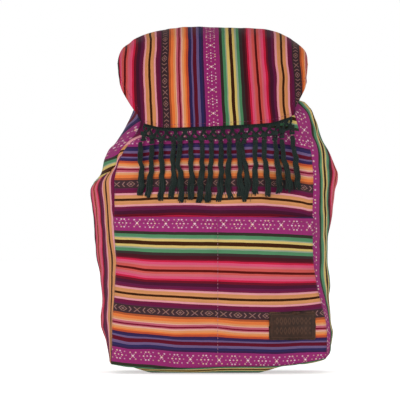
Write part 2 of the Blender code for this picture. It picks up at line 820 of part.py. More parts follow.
def flap_surface(body):
    """The flap's outer surface, from its seam on the back, over the mouth, to its front edge."""
    top_z = COLLAR_TOP_Z + FLAP_CREST
    back_drop = top_z - GATHER_Z - FLAP_SEAM_RISE
    layers = CLOTH + SEAM_GAP + LINING
    edge_y = front_y(body, 0, top_z - FLAP_DROP) - layers - 2 * SNAP_PLATE - 3 * SEAM_GAP
    spots = [FLAP_BACK_HALF * s for s in (-1, -0.5, 0, 0.5, 1)]
    seam_y = max(back_y(body, x, top_z - back_drop) for x in spots) + layers + 2 * EASE
    # Place from back to front, y, depth below the crest, half width, arch and wrap of the sides
    stations = [
        (0.00, seam_y, back_drop, FLAP_BACK_HALF, 0.0, -0.002),
        (0.12, seam_y + 0.0075, 0.70 * back_drop, 0.83 * FLAP_HALF, 0.012, -0.006),
        (0.25, seam_y + 0.0060, 0.38 * back_drop, 0.94 * FLAP_HALF, 0.50 * FLAP_ARCH, -0.009),
        (0.38, 0.70 * seam_y, 0.10 * back_drop, 0.99 * FLAP_HALF, 0.82 * FLAP_ARCH, -0.010),
        (0.50, THROAT_Y, 0.0, FLAP_HALF, FLAP_ARCH, 0.0),
        (0.62, 0.50 * edge_y, 0.08 * FLAP_DROP, FLAP_HALF, 0.88 * FLAP_ARCH, 0.012),
        (0.75, 0.80 * edge_y, 0.32 * FLAP_DROP, 0.985 * FLAP_HALF, 0.60 * FLAP_ARCH, 0.020),
        (0.88, 0.93 * edge_y, 0.67 * FLAP_DROP, 0.90 * FLAP_HALF, 0.18 * FLAP_ARCH, 0.024),
        (1.00, edge_y, FLAP_DROP, FLAP_EDGE_HALF, -FLAP_CORNER_RISE, 0.022),
    ]
    rows = []
    for t in np.linspace(0, 1, FLAP_ROWS):
        y, drop, half, arch, wrap = (
            through([(s[0], s[k]) for s in stations], t) for k in range(1, 6)
        )
        lean = FLAP_LEAN * (1 - abs(2 * t - 1) ** 2)
        tilt = FLAP_TILT * smooth(0.6, 1.0, t)
        turns = np.linspace(-math.pi / 2, math.pi / 2, 181)
        u = np.copysign(np.abs(np.sin(turns)) ** (2 / 3), np.sin(turns))
        bend = 1 - np.maximum(np.cos(turns), 0) ** (2 / 3)
        x = half * u
        line = np.stack([lean + x, y + wrap * np.abs(u) ** 2.5, top_z - drop - arch * bend + tilt * x], 1)
        rows.append(even(line, FLAP_COLUMNS + 1))
    return np.array(rows)[:, ::-1]


def flap(body, materials):
    outer = flap_surface(body)
    under = offset(outer, -CLOTH)
    shell("flap", outer, under, materials["flap"])
    face = offset(outer, -CLOTH - SEAM_GAP)
    back = offset(outer, -CLOTH - SEAM_GAP - LINING)
    half = 2 * SEAM_GAP
    face, back = (trim(g, half, half, half, half) for g in (face, back))
    shell("flap_lining", face, back, materials["flap_lining"])
    return back


class Hang:
    """Where the fringe hangs: along the flap's front edge, under its lining and over the body."""

    def __init__(self, under, body, pocket):
        edge = under[-1][np.argsort(under[-1][:, 0])]
        self.line = even(edge, 241)
        gaps = np.linalg.norm(np.diff(self.line, axis=0), axis=1)
        self.places = np.concatenate([[0], np.cumsum(gaps)])
        self.inset = (self.places[-1] - fringe_length()) / 2
        self.under = tree_of(under)
        self.cloth = [body, pocket]

    def behind_flap(self, x, z, edge_y):
        hit = self.under.ray_cast(Vector((x, 1, z)), Vector((0, -1, 0)))[0]
        return max(hit.y, edge_y) if hit else edge_y

    def before_cloth(self, x, z, reach, reach_z):
        return min(nearest_front(tree, x, z, reach, reach_z) for tree in self.cloth)

    def place(self, u, v, w=0.0):
        """A point of the fringe: u along it, v below the flap's edge, w in front of its middle."""
        x, edge_z = (float(np.interp(self.inset + u, self.places, self.line[:, k])) for k in (0, 2))
        z = edge_z - v
        half = HEADER_THICKNESS / 2
        steps = [TASSEL_PITCH * s for s in (-1, -0.5, 0, 0.5, 1)]
        edge_y = max(np.interp(self.inset + u + du, self.places, self.line[:, 1]) for du in steps)
        y = max(self.behind_flap(x + du, z, edge_y) for du in steps) + EASE + half
        y = min(y, self.before_cloth(x, z, NET_CORD, 2 * NET_CORD) - 2 * EASE - half)
        return np.array([x, y - w, z])


def fringe_length():
    return (TASSEL_COUNT - 1) * TASSEL_PITCH + 2 * NET_CORD


def fringe_header(hang, material):
    """The braided band that is sewn under the flap's edge."""
    steps = [0, *(NET_CORD + k * TASSEL_PITCH for k in range(TASSEL_COUNT)), fringe_length()]
    heights = [HEADER_BELOW, 0.0, -HEADER_ABOVE]
    half = HEADER_THICKNESS / 2
    front = np.array([[hang.place(u, v, half) for u in steps] for v in heights])
    back = np.array([[hang.place(u, v, -half) for u in steps] for v in heights])
    return shell("fringe_header", front, back, material)


def net_cell(index):
    """The net's outline and hole between two of its tassels, with half holes over the tassels."""
    pitch = TASSEL_PITCH
    start = NET_CORD + index * pitch
    end = start + pitch
    top = HEADER_BELOW + SEAM_GAP
    low = top + NET_HEIGHT
    foot = 0.6 * NET_CORD
    half_u = 0.32 * (pitch - 2 * NET_CORD)
    half_v = 0.14 * NET_HEIGHT
    middle = top + 0.60 * NET_HEIGHT

    def side(u, inward, outermost):
        if outermost:
            u -= inward * NET_CORD
            return [(u, top), (u, low - foot), (u + inward * foot, low)]
        points = [(u, top), (u, middle - half_v), (u + inward * half_u, middle), (u, middle + half_v)]
        return [*points, (u, low)]

    outline = side(start, 1, index == 0)
    outline += [(start + foot, low), (start + pitch / 2, top + 0.62 * NET_HEIGHT), (end - foot, low)]
    outline += reversed(side(end, -1, index == TASSEL_COUNT - 2))
    centre = start + pitch / 2
    hole_v = top + 0.27 * NET_HEIGHT
    half_u = (pitch - 2.2 * NET_CORD) / 2
    hole = [
        (centre - half_u, hole_v),
        (centre, hole_v + 0.16 * NET_HEIGHT),
        (centre + half_u, hole_v),
        (centre, hole_v - 0.16 * NET_HEIGHT),
    ]
    return [outline, hole]


def flat_mesh(outlines, thickness):
    """A flat outline with holes, filled as a 2D curve. With a thickness it is a closed solid."""
    curve = bpy.data.curves.new("outline", "CURVE")
    curve.dimensions = "2D"
    curve.fill_mode = "BOTH"
    curve.extrude = thickness / 2
    for points in outlines:
        spline = curve.splines.new("POLY")
        spline.points.add(len(points) - 1)
        for target, (u, v) in zip(spline.points, points):
            target.co = (u, v, 0, 1)
        spline.use_cyclic_u = True
    holder = bpy.data.objects.new("outline", curve)
    bpy.context.scene.collection.objects.link(holder)
    bpy.context.view_layer.update()
    depsgraph = bpy.context.evaluated_depsgraph_get()
    mesh = bpy.data.meshes.new_from_object(holder.evaluated_get(depsgraph))
    bpy.data.objects.remove(holder)
    work = bmesh.new()
    work.from_mesh(mesh)
    bmesh.ops.remove_doubles(work, verts=work.verts, dist=0.00001)
    bmesh.ops.triangulate(work, faces=work.faces)
    work.to_mesh(mesh)
    work.free()
    return mesh


def fringe_net(hang, material):
    """The knotted net: a flat sheet of cells, bent to where the fringe hangs and given a thickness."""
    places, faces = {}, []
    for index in range(TASSEL_COUNT - 1):
        cell = flat_mesh(net_cell(index), 0)
        keys = [(round(v.co.x, 6), round(v.co.y, 6)) for v in cell.vertices]
        numbers = [places.setdefault(key, len(places)) for key in keys]
        faces += [tuple(numbers[v] for v in p.vertices) for p in cell.polygons]
        bpy.data.meshes.remove(cell)
    half = HEADER_THICKNESS / 2
    points = [hang.place(u, v, w) for w in (half, -half) for u, v in places]
    count = len(places)
    edges = [(f[k], f[(k + 1) % 3]) for f in faces for k in range(3)]
    walls = [(a, b) for a, b in edges if (b, a) not in edges]
    faces += [tuple(count + v for v in reversed(f)) for f in faces]
    for a, b in walls:
        faces += [(b, a, a + count), (b, a + count, b + count)]
    return make("fringe_net", points, faces, material)


def tassel(index, hang, material):
    """One hank of yarn from a knot of the net down over the cloth of the bag."""
    top = HEADER_BELOW + SEAM_GAP + NET_HEIGHT + 1.5 * EASE
    start = hang.place(NET_CORD + index * TASSEL_PITCH, top)
    across = 2 * index / (TASSEL_COUNT - 1) - 1
    sway = TASSEL_FAN * across + 0.0012 * math.sin(2.3 * index + 0.7)
    length = TASSEL_LENGTH * (1 + 0.05 * math.sin(4.1 * index) - 0.05 * across)
    rings = []
    for share, size in ((0.0, 0.42), (0.12, 0.90), (0.40, 0.92), (0.75, 1.0), (1.0, 0.78)):
        x = start[0] + sway * share**1.3
        z = start[2] - length * share
        half_x, half_y = TASSEL_WIDTH / 2 * size, TASSEL_THICKNESS / 2 * size
        lying = hang.before_cloth(x, z, half_x, TASSEL_WIDTH) - half_y - EASE
        y = min(start[1], lying) if share < 0.1 else lying
        rings.append(
            [
                (x + half_x * math.cos(a), y + half_y * math.sin(a), z)
                for a in (2 * math.pi * k / 6 for k in range(6))
            ]
        )
    rings = np.array(rings)[::-1]
    return make(f"tassel_{index + 1:02d}", rings.reshape(-1, 3), tube_faces(rings), material)


def fringe(hang, material):
    fringe_header(hang, material)
    fringe_net(hang, material)
    for index in range(TASSEL_COUNT):
        tassel(index, hang, material)


def turned(name, profile, material, place, tilt):
    """A turned piece about its own axis, laid so that the axis points forward, by a Screw modifier."""
    mesh = bpy.data.meshes.new(name)
    edges = [(k, k + 1) for k in range(len(profile) - 1)]
    mesh.from_pydata([(r, 0, h) for r, h in profile], edges, [])
    piece = bpy.data.objects.new(name, mesh)
    screw = piece.modifiers.new("turn", "SCREW")
    screw.axis = "Z"
    screw.steps = screw.render_steps = 14
    screw.use_merge_vertices = True
    screw.merge_threshold = 0.00001
    piece.location = place
    piece.rotation_euler = (math.pi / 2 + tilt, 0, 0)
    return finished(piece, material)


def snap(body, under, metal):
    """The two halves of the magnetic snap, one on the body's cloth and one on the flap's lining."""
    z = flap_edge_z(0) + SNAP_BELOW_EDGE
    cover = tree_of(under)
    spots = [SNAP_RADIUS * s for s in (-1, 0, 1)]
    face = max(front_y(cover, dx, z + dz) for dx in spots for dz in spots)
    socket_y = nearest_front(body, 0, z, SNAP_RADIUS) - SEAM_GAP
    stud_y = face + SEAM_GAP
    room = (socket_y - stud_y - SEAM_GAP) / 2
    nose = SNAP_NOSE_SHARE * room
    bore = SNAP_NOSE_RADIUS + SEAM_GAP
    socket = [
        (0, room - nose - SEAM_GAP),
        (bore, room - nose - SEAM_GAP),
        (bore, room),
        (SNAP_RADIUS - SNAP_EDGE, room),
        (SNAP_RADIUS, room - SNAP_EDGE),
        (SNAP_RADIUS, 0),
        (0, 0),
    ]
    turned("snap_socket", socket, metal, (0, socket_y, z), 0)
    stud = [
        (0, room + nose),
        (SNAP_NOSE_RADIUS, room + nose),
        (SNAP_NOSE_RADIUS, room),
        (SNAP_RADIUS - SNAP_EDGE, room),
        (SNAP_RADIUS, room - SNAP_EDGE),
        (SNAP_RADIUS, 0),
        (0, 0),
    ]
    turned("snap_stud", stud, metal, (0, stud_y, z), math.pi)


# The drawstring and its lock


def tube(name, points, radius, material):
    curve = bpy.data.curves.new(name, "CURVE")
    curve.dimensions = "3D"
    curve.bevel_depth = radius
    curve.bevel_resolution = 2
    curve.use_fill_caps = True
    spline = curve.splines.new("POLY")
    spline.points.add(len(points) - 1)
    for target, point in zip(spline.points, points):
        target.co = (*point, 1)
    piece = bpy.data.objects.new(name, curve)
    curve.materials.append(material)
    bpy.data.collections[COLLECTION].objects.link(piece)
    return piece


def run_frame(body):
    """The place and tilt of the cord's straight run, from the casing down along the front panel."""
    top_z = CORD_Z - CORD_RUN_DOWN
    low_z = top_z - CORD_RADIUS - CORD_RUN * math.cos(CORD_RUN_TILT)
    stand = LOCK_DEPTH / 2 + EASE
    top_y = front_y(body, 0, PANEL_TOP_Z) - stand - CORD_RADIUS
    low_y = nearest_front(body, 0, low_z, LOCK_LENGTH / 3, 0) - stand
    tilt = math.atan2(top_y - low_y, top_z - low_z)
    return Vector((0, top_y, top_z)), tilt


def drawstring(body, material):
    """One cord round the throat, both ends brought out in front and down through the lock."""
    top, tilt = run_frame(body)
    down = Vector((0, -math.sin(tilt), -math.cos(tilt)))
    ring_x = THROAT_HALF_X + CORD_RADIUS + 2 * SEAM_GAP
    ring_y = THROAT_HALF_Y + CORD_RADIUS + 2 * SEAM_GAP
    left = []
    for share in (1.0, 0.8, 0.6, 0.4, 0.2, 0.0):
        left.append(top + down * (CORD_RUN - CORD_END_HEIGHT) * share - Vector((CORD_SPREAD, 0, 0)))
    ring = [
        Vector((ring_x * math.cos(a), THROAT_Y + ring_y * math.sin(a), CORD_Z))
        for a in (math.radians(-90 - 16 - d) for d in range(0, 329, 8))
    ]
    right = [Vector((-p.x, p.y, p.z)) for p in reversed(left)]
    line = smooth_line([*left, *ring, *right], 44)
    return tube("drawstring", line, CORD_RADIUS, material)


def casing(material):
    """The band of cloth round the throat that holds the drawstring, open in front."""
    clear = 2 * CORD_RADIUS + 4 * SEAM_GAP
    profile = [
        (0.0, -CASING_HEIGHT / 2),
        (1.0, -0.20 * CASING_HEIGHT),
        (1.0, 0.20 * CASING_HEIGHT),
        (0.0, CASING_HEIGHT / 2),
    ]
    start = -90 + math.degrees(math.asin(CASING_OPENING / THROAT_HALF_X))
    turns = [math.radians(a) for a in np.linspace(start, 180 - start, 25)]
    inner = []
    for share, height in profile:
        row = []
        for a in turns:
            half_x, half_y = throat_at(CORD_Z + height)
            out = SEAM_GAP * 2 + share * clear
            row.append(
                (
                    (half_x + out) * math.cos(a),
                    THROAT_Y + (half_y + out) * math.sin(a),
                    CORD_Z + height,
                )
            )
        inner.append(row)
    inner = np.array(inner)
    return shell("drawstring_casing", offset(inner, CASING_CLOTH), inner, material)


def block(name, size, place, bevel=0.0):
    """A box as a mesh object, with its edges rounded if asked. It isn't linked yet."""
    mesh = bpy.data.meshes.new(name)
    work = bmesh.new()
    bmesh.ops.create_cube(work, size=1.0, matrix=Matrix.Translation(place) @ Matrix.Diagonal((*size, 1)))
    if bevel:
        bmesh.ops.bevel(work, geom=work.edges[:], offset=bevel, segments=2, affect="EDGES", profile=0.5)
    work.to_mesh(mesh)
    work.free()
    return bpy.data.objects.new(name, mesh)


def rod(name, radius, length, place, sides=16):
    """A cylinder along X as a mesh object. It isn't linked yet."""
    mesh = bpy.data.meshes.new(name)
    work = bmesh.new()
    turn = Matrix.Translation(place) @ Matrix.Rotation(math.pi / 2, 4, "Y")
    bmesh.ops.create_cone(
        work, cap_ends=True, segments=sides, radius1=radius, radius2=radius, depth=length, matrix=turn
    )
    work.to_mesh(mesh)
    work.free()
    return bpy.data.objects.new(name, mesh)


def cut(piece, *cutters):
    """Takes the cutters out of a piece."""
    for cutter in cutters:
        bpy.data.collections[CUTTERS].objects.link(cutter)
        cutter.hide_render = True
        cutter.display_type = "WIRE"
        cutter.parent = piece.parent
        cutter.location = piece.location
        cutter.rotation_euler = piece.rotation_euler
        change = piece.modifiers.new(cutter.name, "BOOLEAN")
        change.operation = "DIFFERENCE"
        change.object = cutter


def cord_lock(body, plastic, metal):
    """A spring lock on the two cords: a body, a plunger that is pressed from the right, and its spring."""
    top, tilt = run_frame(body)
    down = Vector((0, -math.sin(tilt), -math.cos(tilt)))
    place = top + down * LOCK_DOWN
    turn = (-tilt, 0, 0)
    hole_x = CORD_SPREAD + CORD_RADIUS + PLUNGER_FIT
    hole_y = CORD_RADIUS + PLUNGER_FIT
    right = LOCK_LENGTH / 2 - LOCK_SHIFT
    left = right - LOCK_LENGTH
    socket_end = left + LOCK_WALL
    plunger_end = -hole_x - PLUNGER_TIP
    middle = (left + right) / 2

    size = (LOCK_LENGTH, LOCK_DEPTH, LOCK_HEIGHT)
    case = block("cord_lock_body", size, (middle, 0, 0), LOCK_ROUNDING)
    button = rod(
        "cord_lock_button",
        PLUNGER_RADIUS,
        right + PLUNGER_HEAD - plunger_end,
        ((right + PLUNGER_HEAD + plunger_end) / 2, 0, 0),
    )
    for piece in (case, button):
        piece.location = place
        piece.rotation_euler = turn
        finished(piece, plastic)
    socket_length = LOCK_LENGTH
    socket_middle = socket_end + socket_length / 2
    socket = rod("lock_socket", PLUNGER_RADIUS + PLUNGER_FIT, socket_length, (socket_middle, 0, 0))
    through_case = block("lock_cord_hole", (2 * hole_x, 2 * hole_y, LOCK_CUT), (0, 0, 0))
    through_button = block(
        "button_cord_hole",
        (2 * hole_x + PLUNGER_TRAVEL, 2 * hole_y, LOCK_CUT),
        (PLUNGER_TRAVEL / 2, 0, 0),
    )
    cut(case, socket, through_case)
    cut(button, through_button)

    start, end = socket_end + SEAM_GAP + SPRING_WIRE, plunger_end - SEAM_GAP - SPRING_WIRE
    coil_radius = PLUNGER_RADIUS - SPRING_WIRE - SPRING_EASE
    points = []
    steps = 8 * SPRING_TURNS
    for k in range(steps + 1):
        a = 2 * math.pi * SPRING_TURNS * k / steps
        x = start + (end - start) * k / steps
        points.append((x, coil_radius * math.cos(a), coil_radius * math.sin(a)))
    spring = tube("cord_lock_spring", points, SPRING_WIRE, metal)
    spring.location = place
    spring.rotation_euler = turn

    width = 2 * (CORD_SPREAD + CORD_RADIUS) + CORD_END_MARGIN
    depth = 2 * CORD_RADIUS + CORD_END_MARGIN
    end_piece = block(
        "cord_end",
        (width, depth, CORD_END_HEIGHT - 2 * SEAM_GAP),
        (0, 0, -CORD_END_HEIGHT / 2),
        CORD_END_ROUNDING,
    )
    end_piece.location = top + down * (CORD_RUN - CORD_END_HEIGHT)
    end_piece.rotation_euler = turn
    finished(end_piece, plastic)


# Straps


def strap_path(side, body):
    """The padded strap's middle line, from its sewn top end to its lower end."""
    half = STRAP_THICKNESS / 2
    top_z = GATHER_Z + STRAP_TOP_RISE
    end_z = top_z - STRAP_DROP
    spots = [STRAP_WIDTH * s for s in (-0.5, -0.25, 0, 0.25, 0.5)]
    top_y = max(back_y(body, side * STRAP_TOP_X + dx, top_z) for dx in spots)
    foot_y = max(back_y(body, side * STRAP_TOP_X + dx, top_z - 0.2 * STRAP_DROP) for dx in spots)
    low_y = back_y(body, side * STRAP_END_X, end_z)
    spread = STRAP_END_X - STRAP_TOP_X
    middle_stand = 0.5 * (STRAP_STAND + STRAP_END_STAND)
    stations = [
        (STRAP_TOP_X, top_y + STRAP_END_SHARE * half + EASE, top_z),
        (STRAP_TOP_X + 0.02 * spread, foot_y + half + 4 * EASE, top_z - 0.17 * STRAP_DROP),
        (STRAP_TOP_X + 0.10 * spread, foot_y + 0.55 * STRAP_STAND, top_z - 0.32 * STRAP_DROP),
        (STRAP_TOP_X + 0.35 * spread, foot_y + STRAP_STAND, top_z - 0.56 * STRAP_DROP),
        (STRAP_TOP_X + 0.75 * spread, low_y + middle_stand, top_z - 0.80 * STRAP_DROP),
        (STRAP_END_X, low_y + STRAP_END_STAND, end_z),
    ]
    line = smooth_line([(side * x, y, z) for x, y, z in stations], 13)
    line[-1, 1] = line[-2, 1] = (line[-1, 1] + line[-2, 1]) / 2
    return line


def shoulder_strap(side, name, body, material):
    line = strap_path(side, body)
    shares = np.linspace(0, 1, len(line))
    widths = [STRAP_WIDTH * (1 - 0.30 * smooth(0.70, 1.0, s)) for s in shares]
    depths = [
        STRAP_THICKNESS
        * (STRAP_END_SHARE + (1 - STRAP_END_SHARE) * smooth(0.0, 0.22, s))
        * (1 - 0.25 * smooth(0.9, 1, s))
        for s in shares
    ]
    sweep(name, line, widths, depths, material)
    return Vector(line[-1])


def strap_tab(side_name, end, material):
    """The short loop of webbing that holds the ladder lock's top bar. Gives the bar's axis."""
    radius = math.sqrt(2) * BAR_HALF + BAR_EASE + WEBBING / 2
    top = end.z - SEAM_GAP
    bar = Vector((end.x, end.y, top - TAB_LEG))
    path = [(bar.x, bar.y + radius, top)]
    for k in range(9):
        a = math.pi * k / 8
        path.append((bar.x, bar.y + radius * math.cos(a), bar.z - radius * math.sin(a)))
    path.append((bar.x, bar.y - radius, top))
    count = len(path)
    sweep(f"strap_tab_{side_name}", path, [WEBBING_WIDTH] * count, [WEBBING] * count, material, square=True)
    return bar


def rectangle(half_x, low, high, corner=0.0):
    """A rectangle's outline, with its corners cut if asked."""
    if not corner:
        return [(-half_x, low), (half_x, low), (half_x, high), (-half_x, high)]
    inner_x, inner_low, inner_high = half_x - corner, low + corner, high - corner
    points = []
    for centre_x, centre_z, start in (
        (inner_x, inner_low, -90),
        (inner_x, inner_high, 0),
        (-inner_x, inner_high, 90),
        (-inner_x, inner_low, 180),
    ):
        for step in (0, 45, 90):
            a = math.radians(start + step)
            points.append((centre_x + corner * math.cos(a), centre_z + corner * math.sin(a)))
    return points


def ladder_lock(side_name, bar, plastic):
    """The strap's buckle: a top bar to hang by, a bar that grips the webbing, and a lip to lift."""
    slot_half = WEBBING_WIDTH / 2 + SLOT_EASE
    grip = -BAR_PITCH
    slot_top, slot_mid = -BAR_HALF, grip + BAR_HALF
    low_top = grip - BAR_HALF
    low_bottom = low_top - LIP_SLOT
    outlines = [
        rectangle(slot_half + RAIL, low_bottom - LIP_DEPTH, BAR_HALF, LIP_CORNER),
        rectangle(slot_half, slot_mid, slot_top),
        rectangle(slot_half, low_bottom, low_top),
    ]
    mesh = flat_mesh(outlines, 2 * BAR_HALF)
    turn = Matrix.Rotation(math.pi / 2, 4, "X")
    mesh.transform(turn)
    mesh.name = f"ladder_lock_{side_name}"
    piece = bpy.data.objects.new(f"ladder_lock_{side_name}", mesh)
    piece.location = bar
    return finished(piece, plastic)


def strap_anchor(side, side_name, body, material):
    """The cloth tab sewn into the seam between back and bottom, which holds the webbing's end."""
    foot_z = BASE_SEAM_Z + CORNER_RISE + ANCHOR_RISE
    foot_x = side * (ANCHOR_X + ANCHOR_TOE)
    spots = [(dx, dz) for dx in (-0.5, 0, 0.5) for dz in (0, 0.01)]
    foot_y = max(back_y(body, foot_x + dx * ANCHOR_WIDTH, foot_z + dz) for dx, dz in spots)
    foot = (foot_x, foot_y + ANCHOR_THICKNESS / 2 + EASE, foot_z)
    tip = (side * ANCHOR_X, foot[1] + 0.35 * ANCHOR_LENGTH, foot_z + 0.93 * ANCHOR_LENGTH)
    middle = [(a + b) / 2 for a, b in zip(foot, tip)]
    widths = [ANCHOR_WIDTH, (ANCHOR_WIDTH + WEBBING_WIDTH) / 2, WEBBING_WIDTH + 0.002]
    sweep(
        f"strap_anchor_{side_name}",
        [foot, middle, tip],
        widths,
        [ANCHOR_THICKNESS] * 3,
        material,
        square=True,
    )
    return Vector(tip), Vector(tip) - Vector(middle)


def strap_webbing(side_name, bar, anchor, heading, material):
    """The webbing from the anchor, up behind the buckle, over its grip bar and down as a tail."""
    radius = math.sqrt(2) * BAR_HALF + BAR_EASE + WEBBING / 2
    grip = Vector((bar.x, bar.y, bar.z - BAR_PITCH))
    heading = heading.normalized()
    start = anchor + heading * SEAM_GAP
    back = [
        start,
        start + heading * 0.012,
        Vector((bar.x, bar.y - radius - BAR_EASE, grip.z - 0.020)),
        Vector((bar.x, bar.y - radius, grip.z - 0.004)),
    ]
    path = [Vector(p) for p in smooth_line(back, 9)]
    for k in range(9):
        a = math.pi * k / 8
        path.append(Vector((grip.x, grip.y - radius * math.cos(a), grip.z + radius * math.sin(a))))
    front = [path[-1] - Vector((0, 0, 0.004)), path[-1] - Vector((0, -0.001, 0.025))]
    front.append(Vector((bar.x, path[-1].y + 0.003, TAIL_END_Z)))
    path += [Vector(p) for p in smooth_line(front, 6)]
    count = len(path)
    sweep(
        f"strap_webbing_{side_name}",
        path,
        [WEBBING_WIDTH] * count,
        [WEBBING] * count,
        material,
        square=True,
    )


def grab_loop(body, material):
    """A folded loop of webbing to hang or lift the bag by, both ends sewn to the back panel."""
    foot_z = GATHER_Z + STRAP_TOP_RISE - GRAB_LEG
    spots = [(dx, dz) for dx in (-GRAB_WIDTH / 2, 0, GRAB_WIDTH / 2) for dz in (0, 0.5, 1)]
    foot_y = max(back_y(body, dx, foot_z + dz * GRAB_LEG) for dx, dz in spots)
    inner = foot_y + WEBBING / 2 + EASE
    outer = inner + WEBBING + SEAM_GAP
    clear = foot_y + CLOTH + LINING + 3 * EASE + WEBBING
    top = foot_z + GRAB_LENGTH
    bend = top - GRAB_OPEN / 2
    points = [
        (0, inner, foot_z),
        (0, inner, foot_z + 0.9 * GRAB_LEG),
        (0, clear + 0.1 * GRAB_OPEN, foot_z + 0.45 * GRAB_LENGTH),
        (0, clear + 0.3 * GRAB_OPEN, bend - 0.2 * GRAB_LENGTH),
        (0, clear + 0.45 * GRAB_OPEN, bend),
        (0, clear + 0.75 * GRAB_OPEN, top),
        (0, clear + 1.15 * GRAB_OPEN, bend),
        (0, clear + 1.2 * GRAB_OPEN, bend - 0.2 * GRAB_LENGTH),
        (0, outer + 0.9 * GRAB_OPEN, foot_z + 0.45 * GRAB_LENGTH),
        (0, outer, foot_z + 0.9 * GRAB_LEG),
        (0, outer, foot_z),
    ]
    path = smooth_line(points, 22)
    count = len(path)
    sweep("grab_loop", path, [GRAB_WIDTH] * count, [WEBBING] * count, material, square=True)


def straps(body, materials):
    for side, side_name in ((-1, "left"), (1, "right")):
        end = shoulder_strap(side, f"shoulder_strap_{side_name}", body, materials["strap"])
        bar = strap_tab(side_name, end, materials["webbing"])
        ladder_lock(side_name, bar, materials["plastic"])
        tip, heading = strap_anchor(side, side_name, body, materials["strap"])
        strap_webbing(side_name, bar, tip, heading, materials["webbing"])
    grab_loop(body, materials["webbing"])


def start_scene():
    for old in list(bpy.data.objects):
        bpy.data.objects.remove(old)
    for name in (COLLECTION, CUTTERS):
        made = bpy.data.collections.new(name)
        bpy.context.scene.collection.children.link(made)
    bpy.data.collections[CUTTERS].hide_render = True


def make_materials():
    down = striped("cloth_pocket", "Z", POCKET_TOP_Z, -1)
    up = striped("cloth_upper", "Z", SHOULDER_Z - UPPER_BAND_DOWN, 1)
    across = striped("cloth_across", "X", FLAP_BAND_X, 1)
    side_right = striped("cloth_side_right", "Y", FRONT_SEAM_Y, 1)
    side_left = striped("cloth_side_left", "Y", FRONT_SEAM_Y - SIDE_BAND_LEAD, -1)
    return {
        "front_panel": up,
        "back_panel": down,
        "side_panel_left": side_left,
        "side_panel_right": side_right,
        "bottom_panel": across,
        "mouth_collar": up,
        "front_pocket": down,
        "flap": across,
        "strap": down,
        "casing": plain("cotton_band", COLOURS["magenta"], 0.9),
        "flap_lining": plain("flap_lining_cotton", (0.020, 0.018, 0.020), 0.95),
        "lining": plain("lining_cotton", (0.020, 0.018, 0.020), 0.95),
        "leather": plain("leather", (0.085, 0.032, 0.014), 0.55),
        "yarn": plain("black_yarn", (0.012, 0.016, 0.015), 0.95),
        "cord": plain("black_cord", (0.015, 0.015, 0.015), 0.8),
        "webbing": plain("black_webbing", (0.015, 0.015, 0.016), 0.85),
        "plastic": plain("black_plastic", (0.018, 0.018, 0.019), 0.4),
        "brass": plain("antique_brass", (0.35, 0.27, 0.16), 0.35, 1.0),
        "steel": plain("spring_steel", (0.50, 0.50, 0.50), 0.3, 1.0),
    }


def main():
    start_scene()
    materials = make_materials()
    outer = skin()
    body = tree_of(outer, wrap=True)
    body_panels(outer, materials)
    lining(materials["lining"])
    pocket = front_pocket(outer, materials["front_pocket"])
    leather_patch(pocket, materials["leather"])
    under = flap(body, materials)
    fringe(Hang(under, body, tree_of(pocket)), materials["yarn"])
    snap(body, under, materials["brass"])
    casing(materials["casing"])
    drawstring(body, materials["cord"])
    cord_lock(body, materials["plastic"], materials["steel"])
    straps(body, materials)


main()
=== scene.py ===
import math

import bpy
import numpy as np
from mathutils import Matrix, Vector
from mathutils.bvhtree import BVHTree


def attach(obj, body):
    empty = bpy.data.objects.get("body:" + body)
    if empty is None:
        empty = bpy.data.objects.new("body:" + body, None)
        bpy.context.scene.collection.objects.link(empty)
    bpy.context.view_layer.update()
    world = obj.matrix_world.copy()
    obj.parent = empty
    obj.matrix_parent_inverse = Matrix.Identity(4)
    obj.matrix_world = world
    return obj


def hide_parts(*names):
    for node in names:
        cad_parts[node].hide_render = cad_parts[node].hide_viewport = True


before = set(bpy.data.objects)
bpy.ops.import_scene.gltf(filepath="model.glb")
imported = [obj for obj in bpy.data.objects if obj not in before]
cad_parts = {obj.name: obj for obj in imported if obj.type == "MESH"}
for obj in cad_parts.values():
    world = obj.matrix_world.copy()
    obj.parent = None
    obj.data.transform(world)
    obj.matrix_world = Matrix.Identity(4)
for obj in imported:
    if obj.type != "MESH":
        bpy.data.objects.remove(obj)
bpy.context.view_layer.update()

# One pixel of the photograph on the bag's front, the columns of the photograph's and of the bag's middle,
# and the row of the bag's foot
PIXEL = 0.00127
PHOTO_MIDDLE = 200
MIDDLE_PX = 217
FOOT_PX = 373
# How far the camera is from what it shows at the photograph's scale, and where that lies in depth
CAMERA_AWAY = 5.0
CAMERA_FOCUS_Y = -0.030

# The ways to the front and to the photograph's right
FORWARD = np.array([0.0, -1.0, 0.0])
RIGHTWARD = np.array([1.0, 0.0, 0.0])

# The same shape values as the part
CLOTH = 0.0015
LINING = 0.001
SEAM_GAP = 0.0003
EASE = 0.0006
LINING_EASE = 0.004
WEBBING = 0.0015
BASE_SEAM_Z = 0.006
POCKET_HEIGHT = 0.1925
BELLY_RISE = 0.0415
SHOULDER_RISE = 0.065
GATHER_RISE = 0.023
NECK_RISE = 0.044
CORD_RISE = 0.012
COLLAR_RISE = 0.036
CORNER_RISE = 0.009
CORNER_SLANT = 0.005
POCKET_TOP_Z = BASE_SEAM_Z + POCKET_HEIGHT
BELLY_Z = POCKET_TOP_Z + BELLY_RISE
SHOULDER_Z = BELLY_Z + SHOULDER_RISE
GATHER_Z = SHOULDER_Z + GATHER_RISE
PANEL_TOP_Z = GATHER_Z + NECK_RISE
CORD_Z = PANEL_TOP_Z + CORD_RISE
COLLAR_TOP_Z = CORD_Z + COLLAR_RISE
BASE_HALF = 0.138
FRONT_HALF = 0.127
SHOULDER_HALF = 0.101
BELLY_HALF = 0.1575
SIDE_HALF = 0.143
NECK_HALF = 0.118
FRONT_SEAM_Y = -0.048
BACK_SEAM_Y = 0.052
FRONT_BULGE = 0.024
